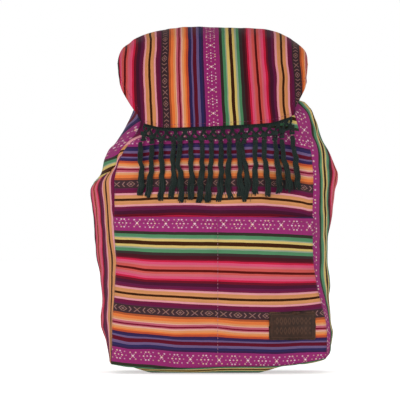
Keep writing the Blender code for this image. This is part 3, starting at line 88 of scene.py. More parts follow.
BACK_BULGE = 0.009
FLAT_INSET = 0.026
BACK_REACH = 0.93
CORNER_ROUNDING = 90
THROAT_Y = 0.002
THROAT_HALF_X = 0.056
THROAT_HALF_Y = 0.035
RUFFLE_HALF_X = 0.074
RUFFLE_HALF_Y = 0.036
PLEAT_DEPTH = 0.0045
RUFFLE_DEPTH = 0.0095
SLUMP = [
    (0.0, 0.0),
    (0.25 * POCKET_TOP_Z, 0.001),
    (0.78 * POCKET_TOP_Z, -0.006),
    (BELLY_Z, -0.003),
    (GATHER_Z, 0.006),
    (PANEL_TOP_Z, 0.0),
]
POCKET_SLACK = 0.011
POCKET_MIDDLE_X = 0.0008
PATCH_WIDTH, PATCH_HEIGHT = 0.059, 0.036
PATCH_X, PATCH_Z = 0.095, 0.061
FLAP_CREST = 0.0195
FLAP_DROP = 0.1265
FLAP_SEAM_RISE = 0.018
FLAP_HALF = 0.1205
FLAP_EDGE_HALF = 0.096
FLAP_BACK_HALF = 0.088
FLAP_ARCH = 0.055
FLAP_CORNER_RISE = 0.009
FLAP_TILT = 0.045
FLAP_LEAN = -0.0057
SNAP_PLATE = 0.0021
TASSEL_COUNT = 17
TASSEL_PITCH = 0.0120
HEADER_BELOW = 0.006
NET_HEIGHT = 0.0165
NET_CORD = 0.0022
CASING_HEIGHT = 0.018
CASING_OPENING = 0.013
CORD_RADIUS = 0.002
CORD_SPREAD = 0.0023
CORD_RUN = 0.036
CORD_RUN_DOWN = 0.010
CORD_RUN_TILT = 0.4
CORD_END_HEIGHT = 0.008
LOCK_DEPTH = 0.011
LOCK_LENGTH = 0.028
STRAP_WIDTH = 0.056
STRAP_THICKNESS = 0.011
STRAP_TOP_X = 0.046
STRAP_TOP_RISE = 0.008
STRAP_END_X = 0.098
STRAP_DROP = 0.186
STRAP_END_SHARE = 0.32
STRAP_STAND = 0.046
STRAP_END_STAND = 0.026
WEBBING_WIDTH = 0.025
TAB_LEG = 0.006
BAR_HALF = 0.002
BAR_PITCH = 0.0105
BAR_EASE = 0.0004
ANCHOR_X = 0.108
ANCHOR_TOE = 0.004
ANCHOR_RISE = 0.012
ANCHOR_WIDTH = 0.040
ANCHOR_LENGTH = 0.036
ANCHOR_THICKNESS = 0.003
TAIL_END_Z = 0.052
GRAB_WIDTH = 0.020
GRAB_LENGTH = 0.078
GRAB_OPEN = 0.012
GRAB_LEG = 0.014
# How many pleats wide the front, the right side, the back and the left side are
PLEATS = (12, 6, 10, 6)

# How finely the cloth is drawn
FINE = 8
ROW_STEP = 0.0032
# How wide the dent beside a sewn edge is
SEAM_DENT = 0.0016
# How thick the flap's cloth, the casing's cloth and the patch's leather are drawn
FLAP_CLOTH = 0.0014
CASING_CLOTH = 0.001
LEATHER = 0.0016
# How much narrower the webbing is drawn than it is in the part
WEBBING_PLAY = 0.0004
# How far the hems' stitches run from the edges of the pocket and of the flap
POCKET_HEM = 0.0066
FLAP_HEM = 0.0040
# The radius of the patch's corners, and how far its stitches run from its edge
PATCH_CORNER = 0.0022
PATCH_SEAM = 0.0018
# The fringe's yarns: their radii, and how long one turn of their twist is
HEADER_YARN = (0.0013, 0.0058)
NET_YARN = (0.00105, 0.0056)
SWAG_YARN = (0.00095, 0.005)
HANK_YARN = (0.00125, 0.0052)
STRAY_YARN = (0.00065, 0.0038)
# The yarn round each knot of the net and round each hank's neck: how far its turns reach sideways and in
# depth, its radius, how many turns it makes, and the step between them
KNOT_WRAP = (0.0034, 0.0016, 0.0011, 3, 0.0015)
NECK_WRAP = (0.0025, 0.0015, 0.0010, 2, 0.0014)
# The cord's braid: how far its strands are from its middle, their radius, the length of a turn, and its core
BRAID_ARM = 0.00118
BRAID_STRAND = 0.00058
BRAID_TURN = 0.011
BRAID_CORE = 0.0013
# How far from a strap's middle its stitched grooves run
GROOVE = 0.0165
# How far the floor reaches, how high it lies, how light it glows where it is seen, and how light the world is
FLOOR_REACH = 9
FLOOR_Z = -0.0002
FLOOR_GLOW = 0.55
WORLD_LIGHT = 0.62

# The cloth's stripes in the order in which they repeat, with their widths in pixels
COLOURS = {
    "magenta": (152, 48, 112), "moss": (52, 50, 40), "green": (84, 136, 98), "sage": (150, 162, 142),
    "yellow": (210, 184, 112), "brown": (62, 30, 8), "peat": (60, 46, 46), "wine": (72, 22, 32),
    "maroon": (106, 20, 38), "red": (196, 34, 68), "pink": (214, 86, 120), "rose": (206, 104, 116),
    "salmon": (200, 86, 80), "rust": (90, 16, 14), "aubergine": (74, 22, 48), "plum": (98, 28, 68),
    "berry": (110, 24, 62), "blush": (220, 152, 160), "peach": (206, 142, 94), "umber": (66, 46, 50),
    "tan": (172, 86, 50), "orange": (222, 122, 64), "apricot": (222, 150, 98), "cream": (220, 168, 148),
    "coral": (188, 94, 112), "crimson": (116, 12, 42), "brick": (186, 80, 50), "violet": (60, 34, 74),
    "navy": (50, 42, 86), "lilac": (112, 92, 132), "burgundy": (98, 18, 42),
}
STRIPES = [
    ("magenta", 15.5), ("moss", 2.5), ("green", 3.2), ("sage", 1.4), ("yellow", 2.8), ("brown", 3.5),
    ("yellow", 2.6), ("sage", 1.6), ("green", 3.1), ("peat", 3.3), ("wine", 3), ("maroon", 1.5),
    ("red", 2.2), ("pink", 2.3), ("rose", 2.2), ("salmon", 2.5), ("rust", 2.6), ("salmon", 2.2),
    ("rose", 2), ("pink", 2.5), ("red", 2.6), ("maroon", 2.1), ("aubergine", 3.2), ("plum", 2.4),
    ("berry", 2.2), ("blush", 2.1), ("peach", 3.6), ("brown", 2.4), ("peach", 3.2), ("blush", 2.5),
    ("berry", 2.4), ("plum", 2.3), ("umber", 8.5), ("tan", 2.2), ("orange", 2.2), ("apricot", 1.6),
    ("cream", 1.9), ("coral", 1.4), ("crimson", 1.5), ("coral", 1.2), ("cream", 1.7), ("apricot", 1.5),
    ("orange", 1.8), ("brick", 1.9), ("violet", 1.4), ("navy", 1.4), ("lilac", 1.6), ("burgundy", 3.7),
    ("lilac", 1.9), ("navy", 2.5), ("violet", 2.1),
]
REPEAT_PX = sum(width for _, width in STRIPES)
REPEAT = REPEAT_PX * PIXEL


def stripe_at(name, turn=0):
    """The middle of a stripe along the repeat, in pixels. turn counts the stripes of the same colour."""
    at = 0.0
    for colour, width in STRIPES:
        if colour == name:
            if turn == 0:
                return at + width / 2
            turn -= 1
        at += width
    raise ValueError(name)


# Numbers and points


def through(points, at):
    """The values at some places on a smooth curve through (place, value) points."""
    places, values = np.array([*points], float).T
    at = np.clip(at, places[0], places[-1])
    rises = np.diff(values) / np.diff(places)
    before, after = rises[:-1], rises[1:]
    steady = before * after > 0
    inner = np.where(steady, 2 * before * after / np.where(steady, before + after, 1), 0)
    slopes = np.concatenate([rises[:1], inner, rises[-1:]])
    i = np.minimum(np.searchsorted(places, at, side="right") - 1, len(places) - 2)
    span = places[i + 1] - places[i]
    t = (at - places[i]) / span
    return (
        (1 + 2 * t) * (1 - t) ** 2 * values[i]
        + t * (1 - t) ** 2 * span * slopes[i]
        + t * t * (3 - 2 * t) * values[i + 1]
        + t * t * (t - 1) * span * slopes[i + 1]
    )


def smooth(low, high, at):
    t = np.clip((np.asarray(at, float) - low) / (high - low), 0.0, 1.0)
    return t * t * (3 - 2 * t)


def bell(distance, width):
    """1 where the distance is 0, and next to nothing beyond two widths."""
    return np.exp(-((distance / width) ** 2))


def listed(table, at, k=1):
    """Values between the rows of a table, from its column k. Column 0 holds their places."""
    return np.interp(at, [row[0] for row in table], [row[k] for row in table])


def signed_power(values, power):
    return np.copysign(np.abs(values) ** power, values)


def points_of(*columns):
    """Points from their coordinates, each an array or one number for all."""
    return np.stack(np.broadcast_arrays(*columns), axis=-1)


def unit(vectors):
    return vectors / np.maximum(np.linalg.norm(vectors, axis=-1, keepdims=True), 1e-12)


def lengths_of(line):
    return np.concatenate([[0], np.cumsum(np.linalg.norm(np.diff(line, axis=0), axis=1))])


def points_at(line, places, at):
    """Points on a line. places has the place of each of its own points."""
    return np.stack([np.interp(at, places, column) for column in np.array(line, float).T], axis=1)


def curve_at(line, places, at):
    """Points on the smooth curve through a line's points."""
    return np.stack([through(zip(places, column), at) for column in np.array(line, float).T], axis=1)


def even(line, count):
    lengths = lengths_of(line)
    return points_at(line, lengths, np.linspace(0, lengths[-1], count))


def smooth_line(points, count):
    lengths = lengths_of(points)
    return even(curve_at(points, lengths, np.linspace(0, lengths[-1], 8 * count)), count)


def table_at(px, py, columns, rows, table):
    """Values between the entries of a table over the photograph's columns and rows."""
    lines = np.stack([through(zip(columns, row), px) for row in table], axis=0)
    rows = np.array(rows, float)
    k = np.clip(np.searchsorted(rows, py) - 1, 0, len(rows) - 2)
    t = np.clip((py - rows[k]) / (rows[k + 1] - rows[k]), 0, 1)
    t = t * t * (3 - 2 * t)
    low = np.take_along_axis(lines, k[None], axis=0)[0]
    high = np.take_along_axis(lines, k[None] + 1, axis=0)[0]
    return low * (1 - t) + high * t


def blurred(values, rows):
    """Columns of values, each smoothed along its length."""
    reach = np.arange(-3 * rows, 3 * rows + 1)
    weight = np.exp(-0.5 * (reach / rows) ** 2)
    padded = np.pad(values, ((3 * rows, 3 * rows), (0, 0)), mode="edge")
    return np.stack([np.convolve(column, weight / weight.sum(), "valid") for column in padded.T], axis=1)


class Field:
    """A soft random field in space: a sum of waves whose lengths lie between two lengths."""

    def __init__(self, seed, shortest, longest, count=14, squash=(1, 1, 1)):
        made = np.random.default_rng(seed)
        ways = made.normal(size=(count, 3))
        ways /= np.linalg.norm(ways, axis=1, keepdims=True)
        self.ways = ways * (math.tau / made.uniform(shortest, longest, (count, 1))) * np.array(squash)
        self.phases = made.uniform(0, math.tau, count)
        self.size = math.sqrt(2 / count)

    def __call__(self, points):
        return np.sin(points @ self.ways.T + self.phases).sum(axis=-1) * self.size / 1.6


def row_of(z):
    """The photograph's row at which a height shows."""
    return FOOT_PX - z / PIXEL


def column_of(x):
    return x / PIXEL + MIDDLE_PX


def seen_x(x, y):
    """The photograph's column at which a point shows that isn't at the distance in focus."""
    return PHOTO_MIDDLE + (column_of(x) - PHOTO_MIDDLE) * CAMERA_AWAY / (CAMERA_AWAY + y - CAMERA_FOCUS_Y)


# The body's surface, as in the part


def widths_at(z):
    front = through([
        (0.0, BASE_HALF),
        (0.25 * POCKET_TOP_Z, BASE_HALF),
        (0.58 * POCKET_TOP_Z, 0.2 * BASE_HALF + 0.8 * FRONT_HALF),
        (0.80 * POCKET_TOP_Z, FRONT_HALF),
        (BELLY_Z, 0.99 * FRONT_HALF),
        (BELLY_Z + 0.49 * SHOULDER_RISE, 0.95 * FRONT_HALF),
        (BELLY_Z + 0.78 * SHOULDER_RISE, (FRONT_HALF + SHOULDER_HALF) / 2),
        (SHOULDER_Z, SHOULDER_HALF),
        (GATHER_Z + 0.2 * NECK_RISE, 0.92 * SHOULDER_HALF),
        (PANEL_TOP_Z, 0.90 * SHOULDER_HALF),
    ], z)
    widest = through([
        (0.0, 1.01 * BASE_HALF),
        (0.23 * POCKET_TOP_Z, SIDE_HALF),
        (0.48 * POCKET_TOP_Z, SIDE_HALF),
        (0.78 * POCKET_TOP_Z, 0.72 * SIDE_HALF + 0.28 * BELLY_HALF),
        (POCKET_TOP_Z, 0.48 * SIDE_HALF + 0.52 * BELLY_HALF),
        (BELLY_Z, BELLY_HALF),
        (BELLY_Z + 0.37 * SHOULDER_RISE, 0.72 * BELLY_HALF + 0.28 * NECK_HALF),
        (BELLY_Z + 0.66 * SHOULDER_RISE, 0.50 * BELLY_HALF + 0.50 * NECK_HALF),
        (BELLY_Z + 0.92 * SHOULDER_RISE, 0.24 * BELLY_HALF + 0.76 * NECK_HALF),
        (SHOULDER_Z + 0.35 * GATHER_RISE, 0.09 * BELLY_HALF + 0.91 * NECK_HALF),
        (GATHER_Z, NECK_HALF),
        (PANEL_TOP_Z, 0.97 * NECK_HALF),
    ], z)
    return front, front + 0.75 * (widest - front), widest


def body_outline(z):
    front, back, widest = widths_at(z)
    lean = smooth(BELLY_Z, GATHER_Z, z)
    fill = 0.45 + 0.55 * smooth(0, 0.6 * POCKET_TOP_Z, z)
    seam_y = FRONT_SEAM_Y * (1 - 0.25 * lean)
    back_seam_y = BACK_SEAM_Y * (1 - 0.12 * lean)
    shares = np.linspace(0, 1, 81)
    side_bulge = widest - (front + 0.6 * (back - front))
    side_x = front + (back - front) * shares + side_bulge * 4 * shares * (1 - shares)
    side_y = seam_y + (back_seam_y - seam_y) * shares
    dome = 1 - np.abs(2 * shares - 1) ** 2.4
    lines = [
        points_of(-front + 2 * front * shares, seam_y - FRONT_BULGE * fill * dome),
        points_of(side_x, side_y),
        points_of(back - 2 * back * shares, back_seam_y + BACK_BULGE * fill * dome),
        points_of(-side_x[::-1], side_y[::-1]),
    ]
    return [line + (through(SLUMP, z), 0) for line in lines]


def columns_at(z):
    front, right, back, left = body_outline(z)
    reach = float(
        through([
            (0.72 * POCKET_TOP_Z, 0.0),
            (BELLY_Z, 0.45 * BACK_REACH),
            (BELLY_Z + 0.4 * SHOULDER_RISE, BACK_REACH),
            (SHOULDER_Z, BACK_REACH),
            (PANEL_TOP_Z, 0.3 * BACK_REACH),
        ], z)
    )
    around = even(np.concatenate([back, left[1:]]), 121)
    corner = int(np.argmin(np.linalg.norm(around - back[-1], axis=1)))
    for _ in range(int(CORNER_ROUNDING * reach)):
        around[1:-1] = (around[:-2] + 2 * around[1:-1] + around[2:]) / 4
    split = corner + reach * (len(around) - 1 - corner)
    fine = np.arange(len(around))
    spans = ((0, split), (split, len(around) - 1))
    back, left = (points_at(around, fine, np.linspace(*span, 141)) for span in spans)
    lines = zip((front, right, back, left), PLEATS)
    return np.concatenate([even(line, FINE * count + 1)[:-1] for line, count in lines])


def throat_at(z):
    """Half the width and half the depth of the throat at a height."""
    heights = (PANEL_TOP_Z, CORD_Z, CORD_Z + 0.28 * COLLAR_RISE, COLLAR_TOP_Z)
    across = (1.05 * THROAT_HALF_X, THROAT_HALF_X, 1.02 * THROAT_HALF_X, RUFFLE_HALF_X)
    deep = (1.08 * THROAT_HALF_Y, THROAT_HALF_Y, THROAT_HALF_Y, RUFFLE_HALF_Y)
    return [float(through(zip(heights, values), z)) for values in (across, deep)]


def throat_columns(z):
    half_x, half_y = throat_at(z)
    turns = np.linspace(0, math.tau, 721)
    start = -math.pi / 2 - math.pi * PLEATS[0] / sum(PLEATS)
    line = points_of(half_x * np.cos(start + turns), THROAT_Y + half_y * np.sin(start + turns))
    return even(line, FINE * sum(PLEATS) + 1)[:-1]


def pleat_depth(z):
    return float(
        through([
            (SHOULDER_Z - 0.3 * SHOULDER_RISE, 0.0),
            (GATHER_Z, 0.35 * PLEAT_DEPTH),
            (PANEL_TOP_Z, PLEAT_DEPTH),
            (CORD_Z, 0.8 * PLEAT_DEPTH),
            (COLLAR_TOP_Z, RUFFLE_DEPTH),
        ], z)
    )


def body_row(z, pleated=True):
    blend = float(smooth(GATHER_Z - 0.1 * NECK_RISE, PANEL_TOP_Z, z))
    if z >= PANEL_TOP_Z:
        flat = throat_columns(z)
    elif blend > 0:
        flat = (1 - blend) * columns_at(z) + blend * throat_columns(PANEL_TOP_Z)
    else:
        flat = columns_at(z)
    inward = unit(np.array([float(through(SLUMP, z)) * (1 - blend), THROAT_Y]) - flat)
    wave = np.ones(len(flat))
    if pleated:
        wave = (1 - np.cos(math.pi * np.arange(len(flat)) / FINE)) / 2
    flat = flat + inward * (pleat_depth(z) * wave)[:, None]
    return np.column_stack([flat, np.full(len(flat), z)])


# The bag's outline in the photograph: rows and columns of its left and of its right side
OUTLINE_LEFT = (
    (96, 139.5), (104, 136), (110, 133), (118, 130.3), (126, 126.3), (134, 121.3), (142, 116),
    (150, 108.5), (158, 104), (166, 102), (174, 99.3), (182, 94), (190, 90.3), (206, 92), (222, 94),
    (238, 95), (254, 96), (262, 97), (270, 99), (286, 101), (302, 102), (318, 101), (326, 101),
    (334, 103.6), (342, 106.2), (350, 107.4), (361, 109.4), (372, 110.5),
)
OUTLINE_RIGHT = (
    (90, 299), (98, 302), (102, 305.3), (106, 308.3), (110, 311.5), (118, 314.5), (126, 317.8),
    (134, 320.5), (142, 323.5), (150, 327.3), (158, 331.3), (166, 334.3), (174, 337.8), (182, 337.4),
    (190, 335.5), (206, 332.3), (222, 329.6), (238, 327.3), (254, 327), (262, 327), (270, 328),
    (286, 330.4), (302, 328.5), (318, 329), (326, 330), (334, 332.4), (342, 331.5), (350, 330.5),
    (354, 329), (358, 327), (372, 324),
)
# How far the left front seam lies from where the part has it, by the photograph's rows, in its pixels
SEAM_MOVES = (
    (108, 0), (116, 4), (124, 8), (130, 9), (133, 8.3), (135, 6), (137, 2.5), (139.5, -0.6), (144, -1.5),
    (150, -2.5), (160, -3), (170, -2.4), (180, -2), (190, -0.9), (204, 0), (216, 0.4), (227, 1.3),
    (238, 2.3), (250, 3.5), (261, 4.6), (267, 4.3), (278, 3.5), (289, 2.8), (300, 2.7), (311, 2.7),
    (328, 3.2), (350, 3.3), (361, 3),
)
GROWTH = (-0.004, 0.0110)


def corner_z(z, side):
    """The height at one of the bag's corners, +1 the right and -1 the left, of the row that has height z."""
    if z >= FIRST_ROW_Z:
        return z
    base_z = BASE_SEAM_Z + CORNER_RISE + CORNER_SLANT * side
    return base_z + (FIRST_ROW_Z - base_z) * (z - BASE_SEAM_Z) / (FIRST_ROW_Z - BASE_SEAM_Z)


def to_outline(row):
    """Moves a row's sides out or in to the photograph's outline, most at the outermost points."""
    columns = np.arange(len(row))
    front = FINE * PLEATS[0]
    from_seam = np.minimum(columns, len(row) - columns)
    move = float(through(SEAM_MOVES, row_of(corner_z(row[0, 2], -1))))
    row[:, 0] += move * PIXEL * bell(from_seam, 16)
    shown = seen_x(row[:, 0], row[:, 1])
    for side, table, start in ((1, OUTLINE_RIGHT, front), (-1, OUTLINE_LEFT, len(row))):
        py = row_of(corner_z(row[0, 2], side))
        widest = int(np.argmax(side * shown))
        shift = side * (float(through(table, py)) - shown[widest]) * PIXEL
        inner = (columns - start) / (widest - start)
        behind = 1 - smooth(0, 60, np.abs(columns - widest))
        weight = np.where((inner >= 0) & (inner <= 1), smooth(0, 1, inner), behind * (inner > 1))
        weight[columns < front] = 0
        most = GROWTH[1] + (0.0070 * (1 - smooth(104, 114, py)) if side > 0 else 0.0)
        row[:, 0] += side * float(np.clip(shift, GROWTH[0], most) * smooth(84, 98, py)) * weight
    return row


FIRST_ROW_Z = BASE_SEAM_Z + POCKET_HEIGHT / 4


def body_rows(heights, pleated=True):
    """Rows of the body, of which those under the first quarter of the pocket rise to its corners."""
    rows = np.array([to_outline(body_row(z, pleated)) for z in heights])
    middle = float(through(SLUMP, 0))
    side = (rows[0][:, 0] - middle) / BASE_HALF
    base_z = BASE_SEAM_Z + (CORNER_RISE + CORNER_SLANT * np.sign(side)) * np.abs(side) ** 2.5
    base_z = base_z + 0.0034 * bell(rows[0][:, 0] - 0.018, 0.050) + 0.0022 * smooth(0.8, 1.0, -side)
    for row, z in zip(rows, heights):
        if z < FIRST_ROW_Z:
            share = (z - BASE_SEAM_Z) / (FIRST_ROW_Z - BASE_SEAM_Z)
            row[:, 2] = base_z + (FIRST_ROW_Z - base_z) * share
    return rows


def normals_of(grid):
    """The outward normal at each point of a grid, as the mean of its neighbours' faces."""
    return unit(np.cross(np.gradient(grid, axis=1), np.gradient(grid, axis=0)))


def raised(grid, lift):
    return grid + normals_of(grid) * lift[..., None]


def all_round(grid):
    """A grid closed round, with its first column once more at its end."""
    return np.concatenate([grid, grid[:, :1]], axis=1)


def border_distance(grid, sides="lrbt"):
    """How far each point of a grid is from its borders, along its rows and columns."""
    columns, rows = (
        np.pad(np.cumsum(np.linalg.norm(np.diff(grid, axis=k), axis=2), axis=k), [(1 - k, 0), (k, 0)])
        for k in (0, 1)
    )
    parts = {"l": rows, "r": rows[:, -1:] - rows, "b": columns, "t": columns[-1:] - columns}
    return np.minimum.reduce([parts[s] for s in sides]), parts


# Meshes


def object_of(name, data):
    made = bpy.data.objects.new(name, data)
    bpy.context.scene.collection.objects.link(made)
    return made


def mesh_of(name, points, faces, material):
    mesh = bpy.data.meshes.new(name)
    mesh.from_pydata(np.asarray(points, float).reshape(-1, 3).tolist(), [], faces)
    mesh.materials.append(material)
    return object_of(name, mesh)


def piece_of(name, points, faces, uvs, material, body="bag", slot="striped_cloth", replaces=()):
    """A mesh piece that rides on a body. uvs has one (along, across) pair for each point, in metres."""
    made = mesh_of(name, points, faces, material)
    mesh = made.data
    layer = mesh.uv_layers.new(name="cloth")
    corners = np.zeros(len(mesh.loops), np.int32)
    mesh.loops.foreach_get("vertex_index", corners)
    layer.data.foreach_set("uv", np.asarray(uvs, np.float32).reshape(-1, 2)[corners].ravel())
    mesh.shade_smooth()
    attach(made, body)
    if replaces:
        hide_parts(*replaces)
    return made


def quads(rows, columns, start=0, closed=False):
    faces = []
    for r in range(rows - 1):
        for c in range(columns if closed else columns - 1):
            a, b = (start + r * columns + k % columns for k in (c, c + 1))
            faces.append((a, b, b + columns, a + columns))
    return faces


def sheet_piece(name, outer, along, across, material, thickness=CLOTH, **rest):
    """A cloth between a grid and the same grid set in by the cloth's thickness, closed at its borders."""
    rows, columns = outer.shape[:2]
    count = rows * columns
    faces = quads(rows, columns)
    faces += [tuple(reversed(f)) for f in quads(rows, columns, count)]
    rim = [(c, c + 1) for c in range(columns - 1)]
    rim += [((r + 1) * columns - 1, (r + 2) * columns - 1) for r in range(rows - 1)]
    rim += [((rows - 1) * columns + c + 1, (rows - 1) * columns + c) for c in range(columns - 1)]
    rim += [((r + 1) * columns, r * columns) for r in range(rows - 1)]
    faces += [(b, a, a + count, b + count) for a, b in rim]
    points = np.concatenate([outer, raised(outer, np.full((rows, columns), -thickness))])
    uvs = points_of(along, across)
    return piece_of(name, points, faces, np.concatenate([uvs, uvs]), material, **rest)


def square_to(line):
    """Two directions at each point of a line, square to it and to one another."""
    tangents = unit(np.gradient(line, axis=0))
    sideways = np.cross(FORWARD, tangents)
    bad = np.linalg.norm(sideways, axis=1) < 1e-3
    sideways[bad] = np.cross(RIGHTWARD, tangents[bad])
    sideways = unit(sideways)
    return sideways, np.cross(tangents, sideways)


def wound(line, angle, arm):
    """A line that winds about another, arm away from it."""
    sideways, over = square_to(line)
    return line + arm[:, None] * (sideways * np.cos(angle)[:, None] + over * np.sin(angle)[:, None])


class Tubes:
    """Collects tubes along lines of points into one mesh."""

    def __init__(self):
        self.points, self.faces, self.uvs, self.count = [], [], [], 0

    def add(self, line, radius, sides=6, flat=1.0, shift=0.0):
        """radius is one number or one for each point. flat squashes the tube from front to back."""
        line = np.array(line, float)
        radii = np.broadcast_to(np.array(radius, float), len(line))
        sideways, over = square_to(line)
        turns = math.tau * (np.arange(sides) + 0.5) / sides
        reach = radii[:, None, None]
        rings = (
            line[:, None]
            + sideways[:, None] * (np.cos(turns)[None, :, None] * reach)
            + over[:, None] * (np.sin(turns)[None, :, None] * reach * flat)
        )
        along = lengths_of(line) + shift
        uv = points_of(along[:, None], turns * radii.mean())
        start = self.count
        self.points.append(rings.reshape(-1, 3))
        self.uvs.append(uv.reshape(-1, 2))
        self.faces += quads(len(line), sides, start, closed=True)
        self.faces.append(tuple(start + k for k in reversed(range(sides))))
        self.faces.append(tuple(start + (len(line) - 1) * sides + k for k in range(sides)))
        self.count += len(line) * sides

    def rope(self, line, radius, turn, phase, step=0.0011, taper=((0, 1), (1, 1))):
        """Two plies twisted about a line. taper pairs shares of the length with shares of the radius."""
        line = even(line, max(6, int(lengths_of(line)[-1] / step)))
        along = lengths_of(line)
        size = np.interp(along / along[-1], *zip(*taper))
        for k in range(2):
            angle = math.tau * (along / turn + k / 2) + phase
            ply = wound(line, angle, radius * 0.50 * size)
            self.add(ply, radius * 0.58 * size, 5, shift=0.37 * k + phase)

    def piece(self, name, material, **rest):
        points, uvs = np.concatenate(self.points), np.concatenate(self.uvs)
        return piece_of(name, points, self.faces, uvs, material, **rest)


def stitches(name, line, outward, material, length=0.0034, gap=0.0012, radius=0.00042, **rest):
    """A row of short threads that dip into the cloth between one another."""
    along = lengths_of(line)
    shares = np.array([0.0, 0.18, 0.5, 0.82, 1.0])
    lift = np.array([-1.55, 0.0, 0.25, 0.0, -1.55])[:, None] * radius
    tubes = Tubes()
    for k in range(int((along[-1] - length) / (length + gap)) + 1):
        at = k * (length + gap) + length * shares
        points = points_at(line, along, at) + points_at(outward, along, at) * lift
        tubes.add(points, radius * np.array([0.6, 1, 1, 1, 0.6]), 5)
    return tubes.piece(name, material, **rest)


def tree_of_nodes(*names):
    points, faces, count = [], [], 0
    for name in names:
        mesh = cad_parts[name].data
        points += [v.co.copy() for v in mesh.vertices]
        faces += [tuple(count + v for v in p.vertices) for p in mesh.polygons]
        count += len(mesh.vertices)
    return BVHTree.FromPolygons(points, faces)


def tree_of_grid(grid):
    return BVHTree.FromPolygons([Vector(p) for p in grid.reshape(-1, 3)], quads(*grid.shape[:2]))


def front_y(tree, x, z, way=1):
    hit = tree.ray_cast(Vector((x, -way, z)), Vector((0, way, 0)))[0]
    return hit.y if hit else way * math.inf


def back_y(tree, *spots):
    """How far back a surface reaches at some (x, z) spots."""
    return max(front_y(tree, x, z, -1) for x, z in spots)


# Materials


def linear(colour):
    return tuple(
        c / 255 / 12.92 if c / 255 <= 0.04045 else ((c / 255 + 0.055) / 1.055) ** 2.4 for c in colour
    )


class Value:
    """A number or colour that varies over a surface. Signs between values make math nodes."""

    def __init__(self, nodes, socket):
        self.nodes, self.socket = nodes, socket

    def __add__(self, other):
        return self.nodes.math("ADD", self, other)

    def __sub__(self, other):
        return self.nodes.math("SUBTRACT", self, other)

    def __rsub__(self, other):
        return self.nodes.math("SUBTRACT", other, self)

    def __mul__(self, other):
        return self.nodes.math("MULTIPLY", self, other)

    def __truediv__(self, other):
        return self.nodes.math("DIVIDE", self, other)

    def __lt__(self, other):
        return self.nodes.math("LESS_THAN", self, other)

    def __abs__(self):
        return self.nodes.math("ABSOLUTE", self)

    __radd__, __rmul__ = __add__, __mul__


class Nodes:
    """The nodes of a material or of the world."""

    def __init__(self, tree):
        self.tree = tree

    def put(self, node, values):
        """Sets a node's inputs, by name or number. A value that varies is linked."""
        for key, value in values.items():
            socket = node.inputs[key]
            if isinstance(value, Value):
                self.tree.links.new(value.socket, socket)
            else:
                socket.default_value = (*value, 1.0) if socket.type == "RGBA" else value

    def node(self, kind, values, out=0, **settings):
        made = self.tree.nodes.new(kind)
        for name, value in settings.items():
            setattr(made, name, value)
        self.put(made, values)
        return Value(self, made.outputs[out])

    def math(self, operation, *values):
        return self.node("ShaderNodeMath", dict(enumerate(values)), operation=operation)

    def wave(self, value, length, shift=0.0):
        return self.math("SINE", value * (math.tau / length) + shift)

    def ranged(self, value, low, high, to_low=0.0, to_high=1.0, kind="SMOOTHSTEP"):
        values = {"Value": value, "From Min": low, "From Max": high, "To Min": to_low, "To Max": to_high}
        return self.node("ShaderNodeMapRange", values, interpolation_type=kind)

    def uv(self):
        """The places along and across the cloth, in metres, and both as a point."""
        spot = self.node("ShaderNodeUVMap", {}, uv_map="cloth")
        along, across = (self.node("ShaderNodeSeparateXYZ", {0: spot}, k) for k in (0, 1))
        return along, across, spot

    def place(self):
        return self.node("ShaderNodeTexCoord", {}, "Object")

    def noise(self, vector, scale, detail=2.0, roughness=0.5):
        values = {"Vector": vector, "Scale": scale, "Detail": detail, "Roughness": roughness}
        return self.node("ShaderNodeTexNoise", values)

    def mix(self, share, a, b):
        return self.node("ShaderNodeMix", {0: share, 6: a, 7: b}, 2, data_type="RGBA")

    def bands(self, value, stops):
        """The colour of the last stop before a value. stops has (place, colour) pairs."""
        made = self.tree.nodes.new("ShaderNodeValToRGB")
        made.color_ramp.interpolation = "CONSTANT"
        elements = made.color_ramp.elements
        while len(elements) > 1:
            elements.remove(elements[-1])
        for k, (at, colour) in enumerate(stops):
            stop = elements[0] if k == 0 else elements.new(at)
            stop.position = at
            stop.color = (*colour, 1.0)
        self.put(made, {0: value})
        return Value(self, made.outputs[0])

    def bright(self, colour, factor):
        """A colour times a number that varies over the surface."""
        return self.node("ShaderNodeVectorMath", {0: colour, "Scale": factor}, operation="SCALE")


class Shading(Nodes):
    """A material. Its surface is one shader."""

    def __init__(self, name, roughness=0.9, metallic=0.0, sheen=0.0, specular=0.5):
        self.material = bpy.data.materials.new(name)
        self.material.use_nodes = True
        super().__init__(self.material.node_tree)
        self.shader = self.tree.nodes["Principled BSDF"]
        self.put(self.shader, {
            "Roughness": roughness, "Metallic": metallic, "Specular IOR Level": specular,
            "Sheen Weight": sheen, "Sheen Roughness": 0.5,
        })

    def finish(self, colour, height, distance, strength, roughness=None):
        """Sets the surface's colour, the bump that a height makes, and the roughness where it varies."""
        bump = self.node("ShaderNodeBump", {"Strength": strength, "Distance": distance, "Height": height})
        self.put(self.shader, {"Base Color": colour, "Normal": bump})
        if roughness is not None:
            self.put(self.shader, {"Roughness": roughness})
        return self.material


# The widths of one warp yarn, of the lining's weave, of the webbing's ribs and of the patch's lozenges
YARN = 0.00062
WEAVE = 0.0006
RIB = 0.0016
LOZENGE = 0.0104
# The dots of the wide band's ornament, with their radii and strengths, in pixels from the middle of a
# ringed diamond or of a cross. Each is repeated on all four sides
DIAMOND_DOTS = (
    (0, 0, 0.75, 0.7), (3.6, 0, 0.85, 0.85), (1.5, 4, 0.85, 0.75), (2.7, 2.2, 0.5, 0.5),
    (7.6, 0, 0.65, 0.5), (6, 3.9, 0.7, 0.5),
)
CROSS_DOTS = ((0, 0, 1.1, 1.0), (1.3, 1.7, 0.6, 0.55), (2.8, 3.6, 0.85, 0.7))
MOTIF_TURN = 14.3


